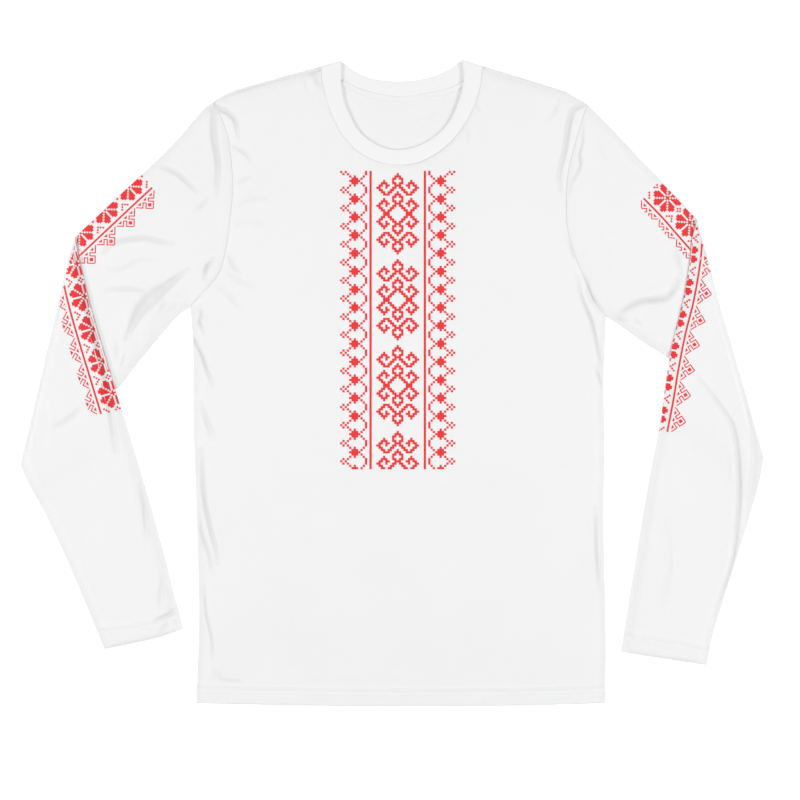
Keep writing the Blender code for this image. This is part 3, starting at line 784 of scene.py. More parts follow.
def band_grid(seam_points, edge_points, along, across):
    """A neckband's plan, its distances from the seam and from the free edge, and its cloth places."""
    seam = moved_out(through(seam_points)(along), SEAM_GAP)
    edge = through(edge_points)(along)
    share = across[:, None, None]
    plan = (1 - share) * seam[None] + share * edge[None]
    width = np.linalg.norm(edge - seam, axis=1)[None]
    length = through(seam_points).length * along[None] * np.ones((len(across), 1))
    cloth_places = np.dstack([length, across[:, None] * width])
    return plan, across[:, None] * width, (1 - across[:, None]) * width, cloth_places


def neckband_front(cloth, finish):
    along = spaced(330, 1.0, 1.5, 6)
    across = spaced(20, 0.6, 0.9, 3)
    plan, from_seam, from_edge, cloth_places = band_grid(FRONT_NECK_SEAM, FRONT_NECK_EDGE, along, across)
    share = from_seam / (from_seam + from_edge)
    from_end = 330 * np.minimum(along, 1 - along)[None] * np.ones_like(share)
    height = BAND_TOP + BAND_RISE * np.abs(2 * along - 1)[None] ** 2
    height = height + BAND_SWELL * np.sin(np.pi * share) ** 0.7
    height += uneven(plan.reshape(-1, 2), cloth, 31).reshape(share.shape) * 0.5
    height -= seam_dip(from_seam) + roll(from_edge, 1.35) + roll(from_end, 1.2)
    height = np.maximum(height, 1.75)
    piece = skirted_piece(
        "neckband_front_rib",
        np.dstack([plan, height]),
        cloth_places,
        ((0.15, 1.5), (1.6, 1.4)),
        finish,
    )
    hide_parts("neckband_front")
    return piece


def neckband_back(finish):
    along = spaced(210, 1.0, 1.6, 6)
    across = spaced(18, 0.6, 1.0, 3)
    plan, from_seam, from_edge, cloth_places = band_grid(BACK_NECK_SEAM, BACK_NECK_EDGE, along, across)
    share = from_seam / (from_seam + from_edge)
    height = 1.15 + 0.25 * np.sin(np.pi * share) - seam_dip(from_seam) - roll(from_edge, 0.7)
    height = np.maximum(height, 0.4)
    piece = skirted_piece(
        "neckband_back_rib",
        np.dstack([plan, height]),
        cloth_places,
        ((0.1, 0.3), (0.9, FLOOR_GAP)),
        finish,
    )
    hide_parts("neckband_back")
    return piece


TAPE_SHOWS = (0.14, 0.86)
TAPE_WIDTH = 6.0


def neck_tape(finish):
    """The narrow tape over the back neck seam, where it shows inside the neck."""
    along = np.linspace(*TAPE_SHOWS, 110)
    seam = moved_out(through(BACK_NECK_SEAM)(along), -SEAM_GAP)
    lower = moved_out(seam, -TAPE_WIDTH)
    across = spaced(TAPE_WIDTH, 0.6, 0.8, 1.5)
    share = across[:, None, None]
    plan = (1 - share) * lower[None] + share * seam[None]
    apart = np.minimum(across, 1 - across)[:, None] * TAPE_WIDTH * np.ones((1, len(along)))
    height = 1.6 - roll(apart, 0.3)
    length = (along * through(BACK_NECK_SEAM).length)[None] * np.ones((len(across), 1))
    cloth_places = np.dstack([length, across[:, None] * TAPE_WIDTH * np.ones((1, len(along)))])
    piece = skirted_piece(
        "neck_tape", np.dstack([plan, height]), cloth_places, ((0.1, 1.2), (0.8, 1.1)), finish
    )
    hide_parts("back_neck_tape")
    return piece


# Sleeves

FLAT_POINTS = 100
EDGE_TURNS = (67, 45, 22, 0, -22, -45, -67)
UPPER_ROWS = 150
LOWER_ROWS = 215
FOLD_TURNS = 13
# The cuff's rings. Columns: how far out, and the shares of the cuff's width and thickness
CUFF_LIP = ((0.4, 1.0, 0.72), (0.2, 0.995, 0.3), (-2.0, 0.99, 0.16), (-16.0, 0.97, 0.16))


def ring_places():
    """Once round a flattened sleeve: side (0 or 1 at an edge, None on a flat), share or inset, and height.

    The front flat comes first, from the top edge to the under edge, then the back flat the other way.
    """
    middle = TUBE / 2
    places = []
    for side, level, direction in ((1, TUBE, 1), (0, 0.0, -1)):
        places += [(None, share, level) for share in steps(FLAT_POINTS)[::direction]]
        for angle in np.radians(EDGE_TURNS[::direction]):
            places.append((side, middle - middle * math.cos(angle), middle + middle * math.sin(angle)))
    return places


def on_row(line, places):
    """The plan of a ring at one row, whose line crosses the sleeve from its top edge to its under edge."""
    along = walked(line)
    inset = TUBE / 2
    distances = []
    for side, value, _ in places:
        if side is None:
            distances.append(inset + value * (along[-1] - 2 * inset))
        else:
            distances.append(value if side == 0 else along[-1] - value)
    return np.stack([np.interp(distances, along, line[:, axis]) for axis in (0, 1)], axis=1)


def past_line(plan, line):
    """How far each place is past a line, on the side that faces the hem."""
    (x0, y0), (x1, y1) = line
    normal = np.array([y1 - y0, x0 - x1])
    normal /= np.linalg.norm(normal)
    if normal[1] > 0:
        normal = -normal
    return (plan - np.array([x0, y0])) @ normal


def lower_base(plan, cut):
    """The height of the lower sleeve's underside: on the upper sleeve, then down to the floor beyond it."""
    fall = smooth_step((past_line(plan, cut["under_line"]) - DROP_START) / DROP_LENGTH)
    return FOLD_LIFT * (1 - fall)


def sleeve_lines(cut):
    """The lines across the sleeve: from the armhole to the elbow, and from the elbow to the cuff."""
    across = steps(120)
    elbow = through(cut["elbow"])(across)
    armhole = through(cut["armhole"])(across)[::-1]
    armhole = moved_out(armhole, SEAM_GAP if armhole[0, 0] > 0 else -SEAM_GAP)
    top_curve = through(cut["top"])
    near = np.array([0.15, 0.45, 0.8]) / top_curve.length
    v = np.unique(np.concatenate([steps(UPPER_ROWS), near]).round(7))
    top = np.concatenate([armhole[:1], top_curve(v)[1:]])
    under = np.concatenate([armhole[-1:], through(cut["under"])(v)[1:]])
    upper = patch(armhole, elbow, top, under, across, v)
    inner_curve = through(cut["inner"])
    near = np.array([0.15, 0.4, 0.75]) / inner_curve.length
    w = np.unique(np.concatenate([steps(LOWER_ROWS), 1 - near]))
    inner = inner_curve(w)
    outer = through(cut["outer"])(w)
    cuff = through(cut["cuff"])(across)
    lower = patch(elbow, cuff, inner, outer, across, w)
    return upper, lower


def sleeve(name, cut, creases, cloth, finish, seed):
    """A whole sleeve as one folded tube, from the armhole seam round the elbow fold to the cuff.

    Returns the piece, and the number of its first row past the middle of the elbow fold.
    """
    places = ring_places()
    height = np.array([place[2] for place in places])
    front = height / TUBE
    upper_lines, lower_lines = sleeve_lines(cut)
    fine = steps(300)
    parts = ("armhole", "inner", "top", "under", "outer", "elbow", "cuff", "cuff_line")
    armhole, inner_edge, top_edge, under_edge, outer_edge, elbow_edge, cuff_edge, cuff_line = (
        through(cut[part])(fine) for part in parts
    )

    upper_plan = np.array([on_row(line, places) for line in upper_lines[:-1]])
    flat = upper_plan.reshape(-1, 2)
    from_sides = np.minimum(beside(top_edge, flat)[0], beside(under_edge, flat)[0])
    apart, _, side = beside(inner_edge, flat)
    outside = np.where(side * (1 if inner_edge[0, 0] < 0 else -1) > 0, apart, 0)
    relief = creased(flat, creases["upper"], cloth.crease_depth) + uneven(flat, cloth, seed)
    from_seam = beside(armhole, flat)[0]
    relief += SLEEVE_CROWN * smooth_step(np.minimum(from_sides, from_seam + 6) / CROWN_REACH)
    beside_forearm = smooth_step((outside - 0.05) / 0.8)
    relief = np.where(relief > 0, relief * beside_forearm, relief * smooth_step(outside / 3 + 0.3))
    relief *= smooth_step(np.minimum(from_sides, from_seam + 2.4) / 3)
    relief += swelling(from_seam, *SEAM_PUFF)
    under_relief = 0.5 * np.abs(uneven(flat, cloth, seed + 3)) * smooth_step(from_sides / 8)
    drop = seam_dip(from_seam - SEAM_GAP)
    front_share = np.tile(front, len(upper_plan))
    z = np.tile(height, len(upper_plan)) + relief * front_share + under_relief * (1 - front_share)
    z -= drop * (2 * front_share - 1)
    z = np.maximum(z, 0.9 * front_share) + FLOOR_GAP * (1 - front_share)
    upper_rings = np.dstack([upper_plan, z.reshape(upper_plan.shape[:2])])

    lower_plan = np.array([on_row(line, places) for line in lower_lines[1:]])
    flat = lower_plan.reshape(-1, 2)
    from_sides = np.minimum(beside(inner_edge, flat)[0], beside(outer_edge, flat)[0])
    from_elbow = beside(elbow_edge, flat)[0]
    from_cuff = beside(cuff_edge, flat)[0]
    relief = creased(flat, creases["lower"], cloth.crease_depth) + uneven(flat, cloth, seed + 5)
    relief += SLEEVE_CROWN * smooth_step(from_sides / CROWN_REACH)
    relief *= smooth_step(np.minimum(from_sides, from_cuff) / 3)
    relief *= smooth_step((from_elbow - FOLD_RADIUS) / 6)
    cuff_side = -np.sign(cuff_line[-1, 0] - cuff_line[0, 0])
    relief += seam_line(flat, cuff_line, cuff_side) * smooth_step(from_sides / 1.5)
    back_share = np.tile(1 - front, len(lower_plan))
    thinner = FOREARM_PINCH * (1 - smooth_step(from_sides / PINCH_REACH))
    thinner *= smooth_step((from_elbow - FOLD_RADIUS) / 10)
    z = lower_base(flat, cut) + (TUBE - np.tile(height, len(lower_plan))) * (1 - thinner)
    z = (z + relief * back_share).reshape(lower_plan.shape[:2])
    z += FLOOR_GAP * front[None]
    lower_rings = np.dstack([lower_plan, z])

    elbow = on_row(upper_lines[-1], places)
    before = on_row(upper_lines[-2], places) - elbow
    after = on_row(lower_lines[1], places) - elbow
    before *= FOLD_RADIUS / np.linalg.norm(before, axis=1)[:, None]
    after *= FOLD_RADIUS / np.linalg.norm(after, axis=1)[:, None]
    arm = FOLD_RADIUS - height
    fold_rings = []
    for turn in np.linspace(0, math.pi, FOLD_TURNS):
        mix = smooth_step(turn / math.pi)
        inward = (1 - mix) * before + mix * after
        plan = elbow + inward * (1 - arm / FOLD_RADIUS * math.sin(turn))[:, None]
        fold_rings.append(np.column_stack([plan, FOLD_RADIUS - arm * math.cos(turn) + FLOOR_GAP]))

    upper_rings = clear_of_fold(upper_rings, elbow_edge)
    lower_rings = clear_of_fold(lower_rings, elbow_edge)
    rings = list(upper_rings) + fold_rings + list(lower_rings)
    fold_middle = len(upper_rings) + FOLD_TURNS // 2
    rings = [closing_ring(rings[0], rings[1])] + rings + cuff_lip(rings[-1], rings[-8])
    rings = np.array(rings)
    piece = tube_piece(name, rings, finish)
    plan = rings[:, :, :2].reshape(-1, 2)
    upper_count = (fold_middle + 1) * rings.shape[1]
    upper_plan = plan[:upper_count]
    lower_plan = plan[upper_count:]
    from_forearm = beside(inner_edge, upper_plan)[0]
    # Painted shade on the upper sleeve: in crease hearts, beside the armhole seam, and the painted shadow
    # beside the forearm's inner edge
    upper_shades = [
        trough_shading(upper_plan, creases["upper"]),
        edge_shade(beside(armhole, upper_plan)[0], *SEAM_SHADE),
        FOREARM_SHADOW * smooth_step((cut["shadow_width"] - from_forearm) / FOREARM_FADE),
    ]
    # Painted shade on the forearm: in crease hearts and along the cuff's seam line
    lower_shades = [
        trough_shading(lower_plan, creases["lower"]),
        edge_shade(beside(cuff_line, lower_plan)[0], *CUFF_SHADE),
    ]
    # Painted shade beside the free edges of both halves
    for shades, plan, lines in (
        (upper_shades, upper_plan, (top_edge, under_edge)),
        (lower_shades, lower_plan, (outer_edge, elbow_edge)),
    ):
        apart = np.min([beside(line, plan)[0] for line in lines], axis=0)
        shades += [edge_shade(apart, *FREE_SHADE), edge_shade(apart, *WIDE_SHADE)]
    store_shading(piece, np.concatenate([np.max(upper_shades, axis=0), np.max(lower_shades, axis=0)]))
    return piece, fold_middle + 1


def clear_of_fold(rings, elbow_edge):
    """Leaves out the rows that lie inside the elbow fold's turn."""
    keep = [beside(elbow_edge, ring[:, :2])[0].min() > FOLD_RADIUS for ring in rings]
    return rings[np.array(keep)]


def closing_ring(end, following):
    """A ring just inside the armhole end, so that the tube's end looks closed."""
    inward = following[:, :2] - end[:, :2]
    inward /= np.maximum(np.linalg.norm(inward, axis=1), 1e-6)[:, None]
    middle = TUBE / 2
    return np.column_stack([end[:, :2] + 1.6 * inward, middle + 0.3 * (end[:, 2] - middle)])


def cuff_lip(end, inside):
    """The cuff's turned edge: out over the doubled cloth, and back into the sleeve."""
    outward = end[:, :2] - inside[:, :2]
    outward /= np.maximum(np.linalg.norm(outward, axis=1), 1e-6)[:, None]
    middle = end[:, 2].mean()
    centre = end[:, :2].mean(axis=0)
    rings = []
    for out, narrow, flatten in CUFF_LIP:
        plan = centre + narrow * (end[:, :2] - centre) + out * outward
        rings.append(np.column_stack([plan, middle + flatten * (end[:, 2] - middle)]))
    return rings


def tube_piece(name, rings, finish):
    rows, around = rings.shape[:2]
    faces, corner_rows, corner_columns = quads(rows, around, closed=True)
    looped = np.concatenate([rings, rings[:, :1]], axis=1)
    steps_round = np.linalg.norm(np.diff(looped, axis=1), axis=2)
    round_places = np.concatenate([np.zeros((rows, 1)), np.cumsum(steps_round, axis=1)], axis=1)
    round_places -= round_places[:, -1:] / 2
    ahead = walked(rings[:, around // 8])
    cloth_places = np.dstack([round_places, np.repeat(ahead[:, None], around + 1, axis=1)])
    corners = cloth_places[corner_rows, corner_columns]
    first = rings[rows // 4, around // 8]
    across = rings[rows // 4, around // 8 + 1] - first
    along = rings[rows // 4 + 1, around // 8] - first
    if np.cross(across, along)[2] < 0:
        faces = faces[:, ::-1]
        corners = corners[:, ::-1]
    return new_piece(name, rings.reshape(-1, 3), faces.tolist(), corners.reshape(-1, 2), finish)


# Prints


def chest_cells():
    """The inked cells of the chest print, as column and row."""
    cells = set()
    for row in range(CHEST_ROWS):
        pattern = SIDE_BAND[(row + BAND_START) % len(SIDE_BAND)]
        for place, mark in enumerate(pattern):
            if mark == "#":
                column = BAND_INNER + len(pattern) - 1 - place
                cells |= {(-column, row), (column, row)}
        cells |= {(-RULE_COLUMN, row), (RULE_COLUMN, row)}
        in_group = (row - FIRST_GROUP) % GROUP_PITCH
        if row < FIRST_GROUP or in_group >= FIGURE_GROUP:
            continue
        from_end = min(in_group, FIGURE_GROUP - 1 - in_group)
        for start in (0, FIGURE_STEP):
            if 0 <= from_end - start < len(HORNED_FIGURE):
                for column in HORNED_FIGURE[from_end - start]:
                    cells |= {(-column, row), (column, row)}
    return cells


def surface_under(piece):
    """The piece's surface for finding what lies under a place. Its object stays at the origin."""
    data = piece.data
    return BVHTree.FromPolygons([v.co[:] for v in data.vertices], [p.vertices[:] for p in data.polygons])


def landed(surface, place, normal, film):
    """Where a place in millimetres lands on the surface, coming in against the normal, raised by the film."""
    direction = Vector(normal).normalized()
    hit, found, _, _ = surface.ray_cast((Vector(place) + direction * 9) * MM, -direction, 16 * MM)
    if hit is None:
        return None
    if found.dot(direction) < 0:
        found = -found
    return np.array((hit + found * film) / MM)


def chest_print(panel, ink, finish):
    surface = surface_under(panel)
    cell = ink.chest_cell / MM
    x0, y0 = CHEST_TOP
    numbers = {}
    points = []
    faces = []
    corners = []
    for column, row in sorted(chest_cells()):
        face = []
        for across, down in ((0, 1), (1, 1), (1, 0), (0, 0)):
            corner = (column + across, row + down)
            if corner not in numbers:
                x = x0 + (corner[0] - 0.5) * cell
                y = y0 - corner[1] * cell
                numbers[corner] = len(points)
                points.append(landed(surface, (x, y, FRONT_TOP), (0, 0, 1), ink.film))
            face.append(numbers[corner])
            corners.append(((corner[0] - 0.5) * cell, -corner[1] * cell))
        faces.append(face)
    return new_piece("chest_print", points, faces, corners, finish)


def sleeve_shapes(cell):
    """The sleeve print's shapes as corners in millimetres: along from the print's start, and across."""

    def squares(centres):
        return [[((a + x) * cell, (b + y) * cell) for x, y in HALF_CELL] for a, b in centres]

    rosette = {(0, 0), (1, 0), (-1, 0), (0, 1), (0, -1)}
    for row, columns in PETAL.items():
        for column in columns:
            for a, b in ((column, row), (row, column)):
                rosette |= {(a, b), (-a, b), (a, -b), (-a, -b)}
    shapes = []
    for number in range(ROSETTES):
        centre = (number + 0.5) * ROSETTE_PITCH
        cells = [(centre + a, b) for a, b in sorted(rosette)]
        links = [(centre + a, sign * b) for a, b in LINK_CELLS for sign in (1, -1) if b or sign > 0]
        cells += [(a, b) for a, b in links if a <= ROSETTES * ROSETTE_PITCH]
        if number == 0:
            cells += [(a - ROSETTE_PITCH, b) for a, b in links if a >= ROSETTE_PITCH]
        shapes += squares(cells)
    pieces = ROSETTES * ROSETTE_PITCH
    length = pieces * cell
    for side in (1, -1):
        shapes += squares((number + 0.5, side * RULE_AT) for number in range(pieces))
        for number in range(MEANDERS):
            shapes += meander((number + 0.5) * length / MEANDERS, side, RULE_AT * cell + MEANDER_TOP)
    return shapes


def meander(centre, side, top):
    """One repeat of the meander border, with its line, square and triangles."""
    diagonal = MEANDER_CELL / math.sqrt(2)

    def placed(q, p):
        return centre + (q - p) * diagonal, side * (top + MEANDER_DEPTH - (q + p) * diagonal)

    def block(q, p, size):
        return [placed(q + x * size, p + y * size) for x, y in HALF_CELL]

    shapes = []
    for (q0, p0), (q1, p1) in zip(MEANDER_LINE[:-1], MEANDER_LINE[1:]):
        count = abs(q1 - q0) + abs(p1 - p0)
        for step in range(count):
            share = step / count
            shapes.append(block(q0 + (q1 - q0) * share, p0 + (p1 - p0) * share, 1))
    shapes.append(block(*MEANDER_SQUARE))
    for q, p in MEANDER_TRIANGLES:
        shapes.append([placed(q, p), placed(q + TRIANGLE_LEG, p), placed(q, p + TRIANGLE_LEG)])
    return shapes


def clipped(shape, level):
    """The part of a convex shape where level, a function of its corners, is above 0."""
    kept = []
    for here, there in zip(shape, shape[1:] + shape[:1]):
        a = level(here)
        b = level(there)
        if a >= 0:
            kept.append(here)
        if (a > 0 > b) or (a < 0 < b):
            share = a / (a - b)
            kept.append(tuple(h + share * (t - h) for h, t in zip(here, there)))
    return kept if len(kept) > 2 else []


def edge_frame(edge, opposite):
    """Places along an edge and the way from it into the sleeve, also past the edge's ends."""
    curve = through(edge)
    across = through(opposite)(0.5) - curve(0.5)
    forward = curve(0.52) - curve(0.48)
    turned = 1 if forward[0] * across[1] - forward[1] * across[0] > 0 else -1

    def at(distance):
        share = np.clip(distance / curve.length, 0, 1)
        near = 1.5 / curve.length
        ahead = curve(min(share + near, 1)) - curve(max(share - near, 0))
        ahead /= np.linalg.norm(ahead)
        foot = curve(share) + (distance - share * curve.length) * ahead
        return foot, turned * np.array([-ahead[1], ahead[0]])

    return at


def wrapped(half, up, inset, inward, from_fold, elbow_in, base):
    """The way that the sleeve's surface faces at a place, and its height, with both folded edges rounded.

    up is 1 on a face that looks up. from_fold is the distance from the elbow fold, or None inside it.
    """
    middle = TUBE / 2
    lean = math.acos(np.clip(1 - inset / middle, 0, 1))
    normal = np.array([*(-inward * math.cos(lean)), up * math.sin(lean)])
    height = middle if half == "upper" else base + middle
    if from_fold is not None and from_fold < FOLD_RADIUS:
        turn = math.acos(np.clip(1 - from_fold / FOLD_RADIUS, 0, 1))
        normal[:2] = normal[:2] * math.sin(turn) - elbow_in * math.cos(turn)
        normal[2] *= math.sin(turn)
        height = FOLD_RADIUS + (height - FOLD_RADIUS) * math.sin(turn)
    return normal, height


def sleeve_print(name, piece, fold_row, cut, creases, side_name, ink, finish):
    """The band of rosettes over the sleeve's top edge, wrapped over both halves of the folded sleeve."""
    around = 2 * (FLAT_POINTS + 1) + 2 * len(EDGE_TURNS)
    vertices = [v.co[:] for v in piece.data.vertices]
    polygons = [p.vertices[:] for p in piece.data.polygons]
    halves = {
        "upper": BVHTree.FromPolygons(vertices, [p for p in polygons if min(p) < fold_row * around]),
        "lower": BVHTree.FromPolygons(vertices, [p for p in polygons if max(p) >= fold_row * around]),
    }
    frames = {
        "upper": edge_frame(cut["top"], cut["under"]),
        "lower": edge_frame(cut["print_line"], cut["outer"]),
    }
    *print_place, front_reach, back_reach = PRINT_PLACES[side_name]
    upper_start, lower_start, drawn, upper_shift, lower_shift = print_place
    print_starts = {"upper": upper_start, "lower": lower_start}
    lengthening = {"upper": 1.0, "lower": drawn}
    shift = {"upper": upper_shift, "lower": lower_shift}
    inner_edge = through(cut["inner"])(steps(300))
    inner_side = 1 if inner_edge[0, 0] > 0 else -1
    elbow_start = np.array(cut["elbow"][0], float)
    elbow_way = np.array(cut["elbow"][2], float) - elbow_start
    elbow_in = np.array([elbow_way[1], -elbow_way[0]]) / np.linalg.norm(elbow_way)
    if (through(cut["armhole"])(0.5) - elbow_start) @ elbow_in < 0:
        elbow_in = -elbow_in
    numbers = {}
    points = []
    faces = []
    corners = []

    def from_fold(place):
        return float((np.array(place) - elbow_start) @ elbow_in)

    for raw in sleeve_shapes(ink.sleeve_cell / MM):
        shape = clipped(clipped(raw, lambda c: front_reach - c[1]), lambda c: c[1] + back_reach)
        for half in ("upper", "lower"):
            for way in (1, -1):
                placed = []
                shows = half == "lower" and way == -1
                spare = PRINT_SPARE if shows else 0
                for along, across in clipped(shape, lambda c: way * (c[1] + shift[half]) + spare):
                    foot, inward = frames[half](print_starts[half] + lengthening[half] * along)
                    inset = way * (across + shift[half])
                    place = foot + inset * inward
                    if shows:
                        apart, _, side = beside(inner_edge, place[None])
                        inset = float(apart[0] * side[0] * inner_side)
                    placed.append((along, across, inset, *place, *inward))
                placed = clipped(placed, lambda c: c[2])
                inside_fold = way == 1
                limit = INSIDE_START if inside_fold else 0.0
                placed = clipped(placed, lambda c: from_fold(c[3:5]) - limit)
                face = []
                for along, across, inset, x, y, *inward in placed:
                    key = (half, way, round(along, 2), round(across, 2))
                    if key not in numbers:
                        numbers[key] = len(points)
                        normal, height = wrapped(
                            half,
                            way if half == "upper" else -way,
                            inset,
                            np.array(inward),
                            None if inside_fold else from_fold((x, y)),
                            elbow_in,
                            lower_base(np.array([x, y]), cut),
                        )
                        points.append(landed(halves[half], (x, y, height), normal, ink.film))
                    face.append((numbers[key], along, across))
                used = [number for number, _, _ in face]
                if len(set(used)) > 2 and all(points[number] is not None for number in used):
                    faces.append(used)
                    corners += [(along, across) for _, along, across in face]
    order = sorted({number for face in faces for number in face})
    renumbered = {number: place for place, number in enumerate(order)}
    made = new_piece(
        name,
        [points[number] for number in order],
        [[renumbered[number] for number in face] for face in faces],
        corners,
        finish,
    )
    # The print's painted shade in crease hearts, from the creases of the half that each point lies on
    half_of = {number: key[0] for key, number in numbers.items()}
    plan = np.array([points[number][:2] for number in order])
    on_lower = np.array([half_of[number] == "lower" for number in order])
    shade_levels = (trough_shading(plan, creases[half]) for half in ("lower", "upper"))
    store_shading(made, np.where(on_lower, *shade_levels))
    return made


# Stitches


TWIN_GAP = 3.2  # between the two rows of a hem
THREAD = 0.2
NECK_THREAD = 0.18
THREAD_SIDES = 6
BAND_STITCH_AT = 3.3  # from the neck seam
TAPE_STITCH_AT = 0.8  # from the tape's lower edge
# One stitch. Columns: the share of its length, its thickness in radii, and its height in radii
STITCH_SHAPE = ((0, 0.35, -0.8), (0.12, 0.9, -0.2), (0.5, 1.05, 0.15), (0.88, 0.9, -0.2), (1, 0.35, -0.8))


def stitch_row(surface, line, normal, pitch, length, radius):
    """Short threads along a line on a surface, as points and faces."""
    walk = walked(line)
    points = []
    faces = []
    for start in np.arange(1.5, walk[-1] - length - 1, pitch):
        ends = []
        for distance in (start, start + length):
            plan = [np.interp(distance, walk, line[:, axis]) for axis in (0, 1)]
            ends.append(landed(surface, (*plan, 3.0), normal, radius * 0.35 * MM))
        if ends[0] is None or ends[1] is None:
            continue
        ahead = ends[1] - ends[0]
        ahead /= np.linalg.norm(ahead)
        up = np.array(normal, float)
        aside = np.cross(ahead, up)
        aside /= np.linalg.norm(aside)
        up = np.cross(aside, ahead)
        first = len(points)
        for share, thick, rise in STITCH_SHAPE:
            centre = ends[0] + (ends[1] - ends[0]) * share + up * rise * radius
            for step in range(THREAD_SIDES):
                turn = 2 * math.pi * step / THREAD_SIDES
                points.append(centre + radius * thick * (math.cos(turn) * aside + math.sin(turn) * up))
        for ring in range(len(STITCH_SHAPE) - 1):
            low = first + ring * THREAD_SIDES
            high = low + THREAD_SIDES
            for step in range(THREAD_SIDES):
                after = (step + 1) % THREAD_SIDES
                faces.append([low + step, low + after, high + after, high + step])
    return points, faces


def stitches(name, rows, finish):
    """One piece from rows of stitches, each with its surface, line, normal, pitch, length and radius."""
    points = []
    faces = []
    for row in rows:
        more, more_faces = stitch_row(*row)
        faces += [[number + len(points) for number in face] for face in more_faces]
        points += more
    corners = [(points[number][0], points[number][1]) for face in faces for number in face]
    return new_piece(name, points, faces, corners, finish)


# Finishes


class Value:
    """A number that changes over a surface. Arithmetic on it adds Math nodes."""

    def __init__(self, finish, socket):
        self.finish = finish
        self.socket = socket

    def calculated(self, operation, *numbers):
        inputs = {place: number for place, number in enumerate(numbers)}
        made = self.finish.node("ShaderNodeMath", {"operation": operation}, inputs)
        return Value(self.finish, made.outputs[0])

    def __add__(self, other):
        return self.calculated("ADD", self, other)

    __radd__ = __add__

    def __sub__(self, other):
        return self.calculated("SUBTRACT", self, other)

    def __mul__(self, other):
        return self.calculated("MULTIPLY", self, other)

    def __abs__(self):
        return self.calculated("ABSOLUTE", self)

    def wave(self):
        return self.calculated("SINE", self)

    def part(self):
        """The part after the decimal point."""
        return self.calculated("FRACT", self)


class Finish:
    """A material, with one method that adds any node."""

    def __init__(self, name, colour, roughness, sheen):
        self.material = bpy.data.materials.new(name)
        self.material.use_nodes = True
        self.tree = self.material.node_tree
        self.shader = self.tree.nodes["Principled BSDF"]
        self.shader.inputs["Base Color"].default_value = (*colour, 1)
        self.shader.inputs["Roughness"].default_value = roughness
        self.shader.inputs["Sheen Weight"].default_value = sheen
        self.shader.inputs["Sheen Roughness"].default_value = 0.6
        self.shader.inputs["Specular IOR Level"].default_value = 0.25
        self.material.diffuse_color = (*colour, 1)

    def node(self, kind, settings, values):
        made = self.tree.nodes.new(kind)
        for setting, value in settings.items():
            setattr(made, setting, value)
        for socket, value in values.items():
            if isinstance(value, Value):
                value = value.socket
            if isinstance(value, bpy.types.NodeSocket):
                self.tree.links.new(value, made.inputs[socket])
            else:
                made.inputs[socket].default_value = value
        return made

    def cloth_place(self):
        """Where a point is on the flat cloth, across and along, in millimetres."""
        place = self.node("ShaderNodeUVMap", {"uv_map": "cloth"}, {})
        axes = self.node("ShaderNodeSeparateXYZ", {}, {"Vector": place.outputs["UV"]})
        return Value(self, axes.outputs["X"]), Value(self, axes.outputs["Y"]), place.outputs["UV"]

    def noise(self, place, scale, detail):
        values = {"Vector": place, "Scale": scale, "Detail": detail}
        return Value(self, self.node("ShaderNodeTexNoise", {"noise_dimensions": "2D"}, values).outputs["Fac"])

    def painted_shade(self):
        """The painted shade kept on the mesh, which darkens the base colour where shade falls."""
        kept = self.node("ShaderNodeAttribute", {"attribute_name": "painted_shade"}, {})
        return Value(self, kept.outputs["Fac"])

    def shaded(self, colour, change):
        """Feeds the base colour, darker or lighter as change goes below or above 0."""
        values = {0: tuple(colour), "Scale": 1 + change}
        tint = self.node("ShaderNodeVectorMath", {"operation": "SCALE"}, values)
        self.tree.links.new(tint.outputs["Vector"], self.shader.inputs["Base Color"])

    def raised(self, height, distance, strength):
        """Feeds the normal with a bump of this height in metres."""
        values = {"Height": height, "Distance": distance, "Strength": strength}
        bump = self.node("ShaderNodeBump", {}, values)
        self.tree.links.new(bump.outputs["Normal"], self.shader.inputs["Normal"])


def knit_height(across, along, wale, course):
    """The height of jersey's face from 0 to 1: a stitch to each wale and course, with two slanted legs."""
    leg = (across * (1 / wale)).part() - 0.5
    row = along * (math.pi / course) + abs(leg) * 4.2
    return abs(row.wave()) * abs((leg * (2 * math.pi)).wave())


def jersey_finish(cloth):
    finish = Finish("white_jersey", cloth.jersey_colour, 0.88, 0.12)
    across, along, place = finish.cloth_place()
    knit = knit_height(across, along, cloth.wale / MM, cloth.wale / MM * 0.8)
    fuzz = finish.noise(place, 2.4, 3.0)
    cloudy = finish.noise(place, 0.012, 2.0)
    # Painted shade: the base colour is darkened in crease hearts, beside seams and edges, and beside the
    # forearms
    shade_level = finish.painted_shade()
    grain = (cloudy - 0.5) * 0.02 + (fuzz - 0.5) * 0.03 + (knit - 0.4) * 0.03
    finish.shaded(cloth.jersey_colour, grain - shade_level * cloth.shading_strength)
    finish.raised(knit + fuzz * 0.6, 0.00012, 0.5)
    return finish.material


def rib_finish(cloth):
    finish = Finish("white_rib", cloth.rib_colour, 0.9, 0.12)
    along, across, place = finish.cloth_place()
    rib = abs((along * (math.pi / cloth.rib_pitch * MM)).wave())
    leg = abs((along * (MM / cloth.rib_pitch)).part() - 0.5)
    stitch = abs((across * (math.pi / 0.9) + leg * 3.0).wave())
    fuzz = finish.noise(place, 2.4, 3.0)
    finish.shaded(cloth.rib_colour, (rib - 0.6) * 0.025 + (fuzz - 0.5) * 0.03)
    finish.raised(rib + stitch * 0.2 + fuzz * 0.2, 0.0001, 0.5)
    return finish.material


def tape_finish(cloth):
    """A close twill: fine slanted lines."""
    finish = Finish("white_tape", cloth.rib_colour, 0.85, 0.05)
    along, across, place = finish.cloth_place()
    twill = abs(((along + across) * (math.pi / 0.7)).wave())
    fuzz = finish.noise(place, 3.0, 2.0)
    finish.shaded(cloth.rib_colour, (twill - 0.6) * 0.06 + (fuzz - 0.5) * 0.03)
    finish.raised(twill, 0.00012, 0.5)
    return finish.material


INK_SHADING = 1.6  # how much stronger the painted shade is in the ink than in the cloth
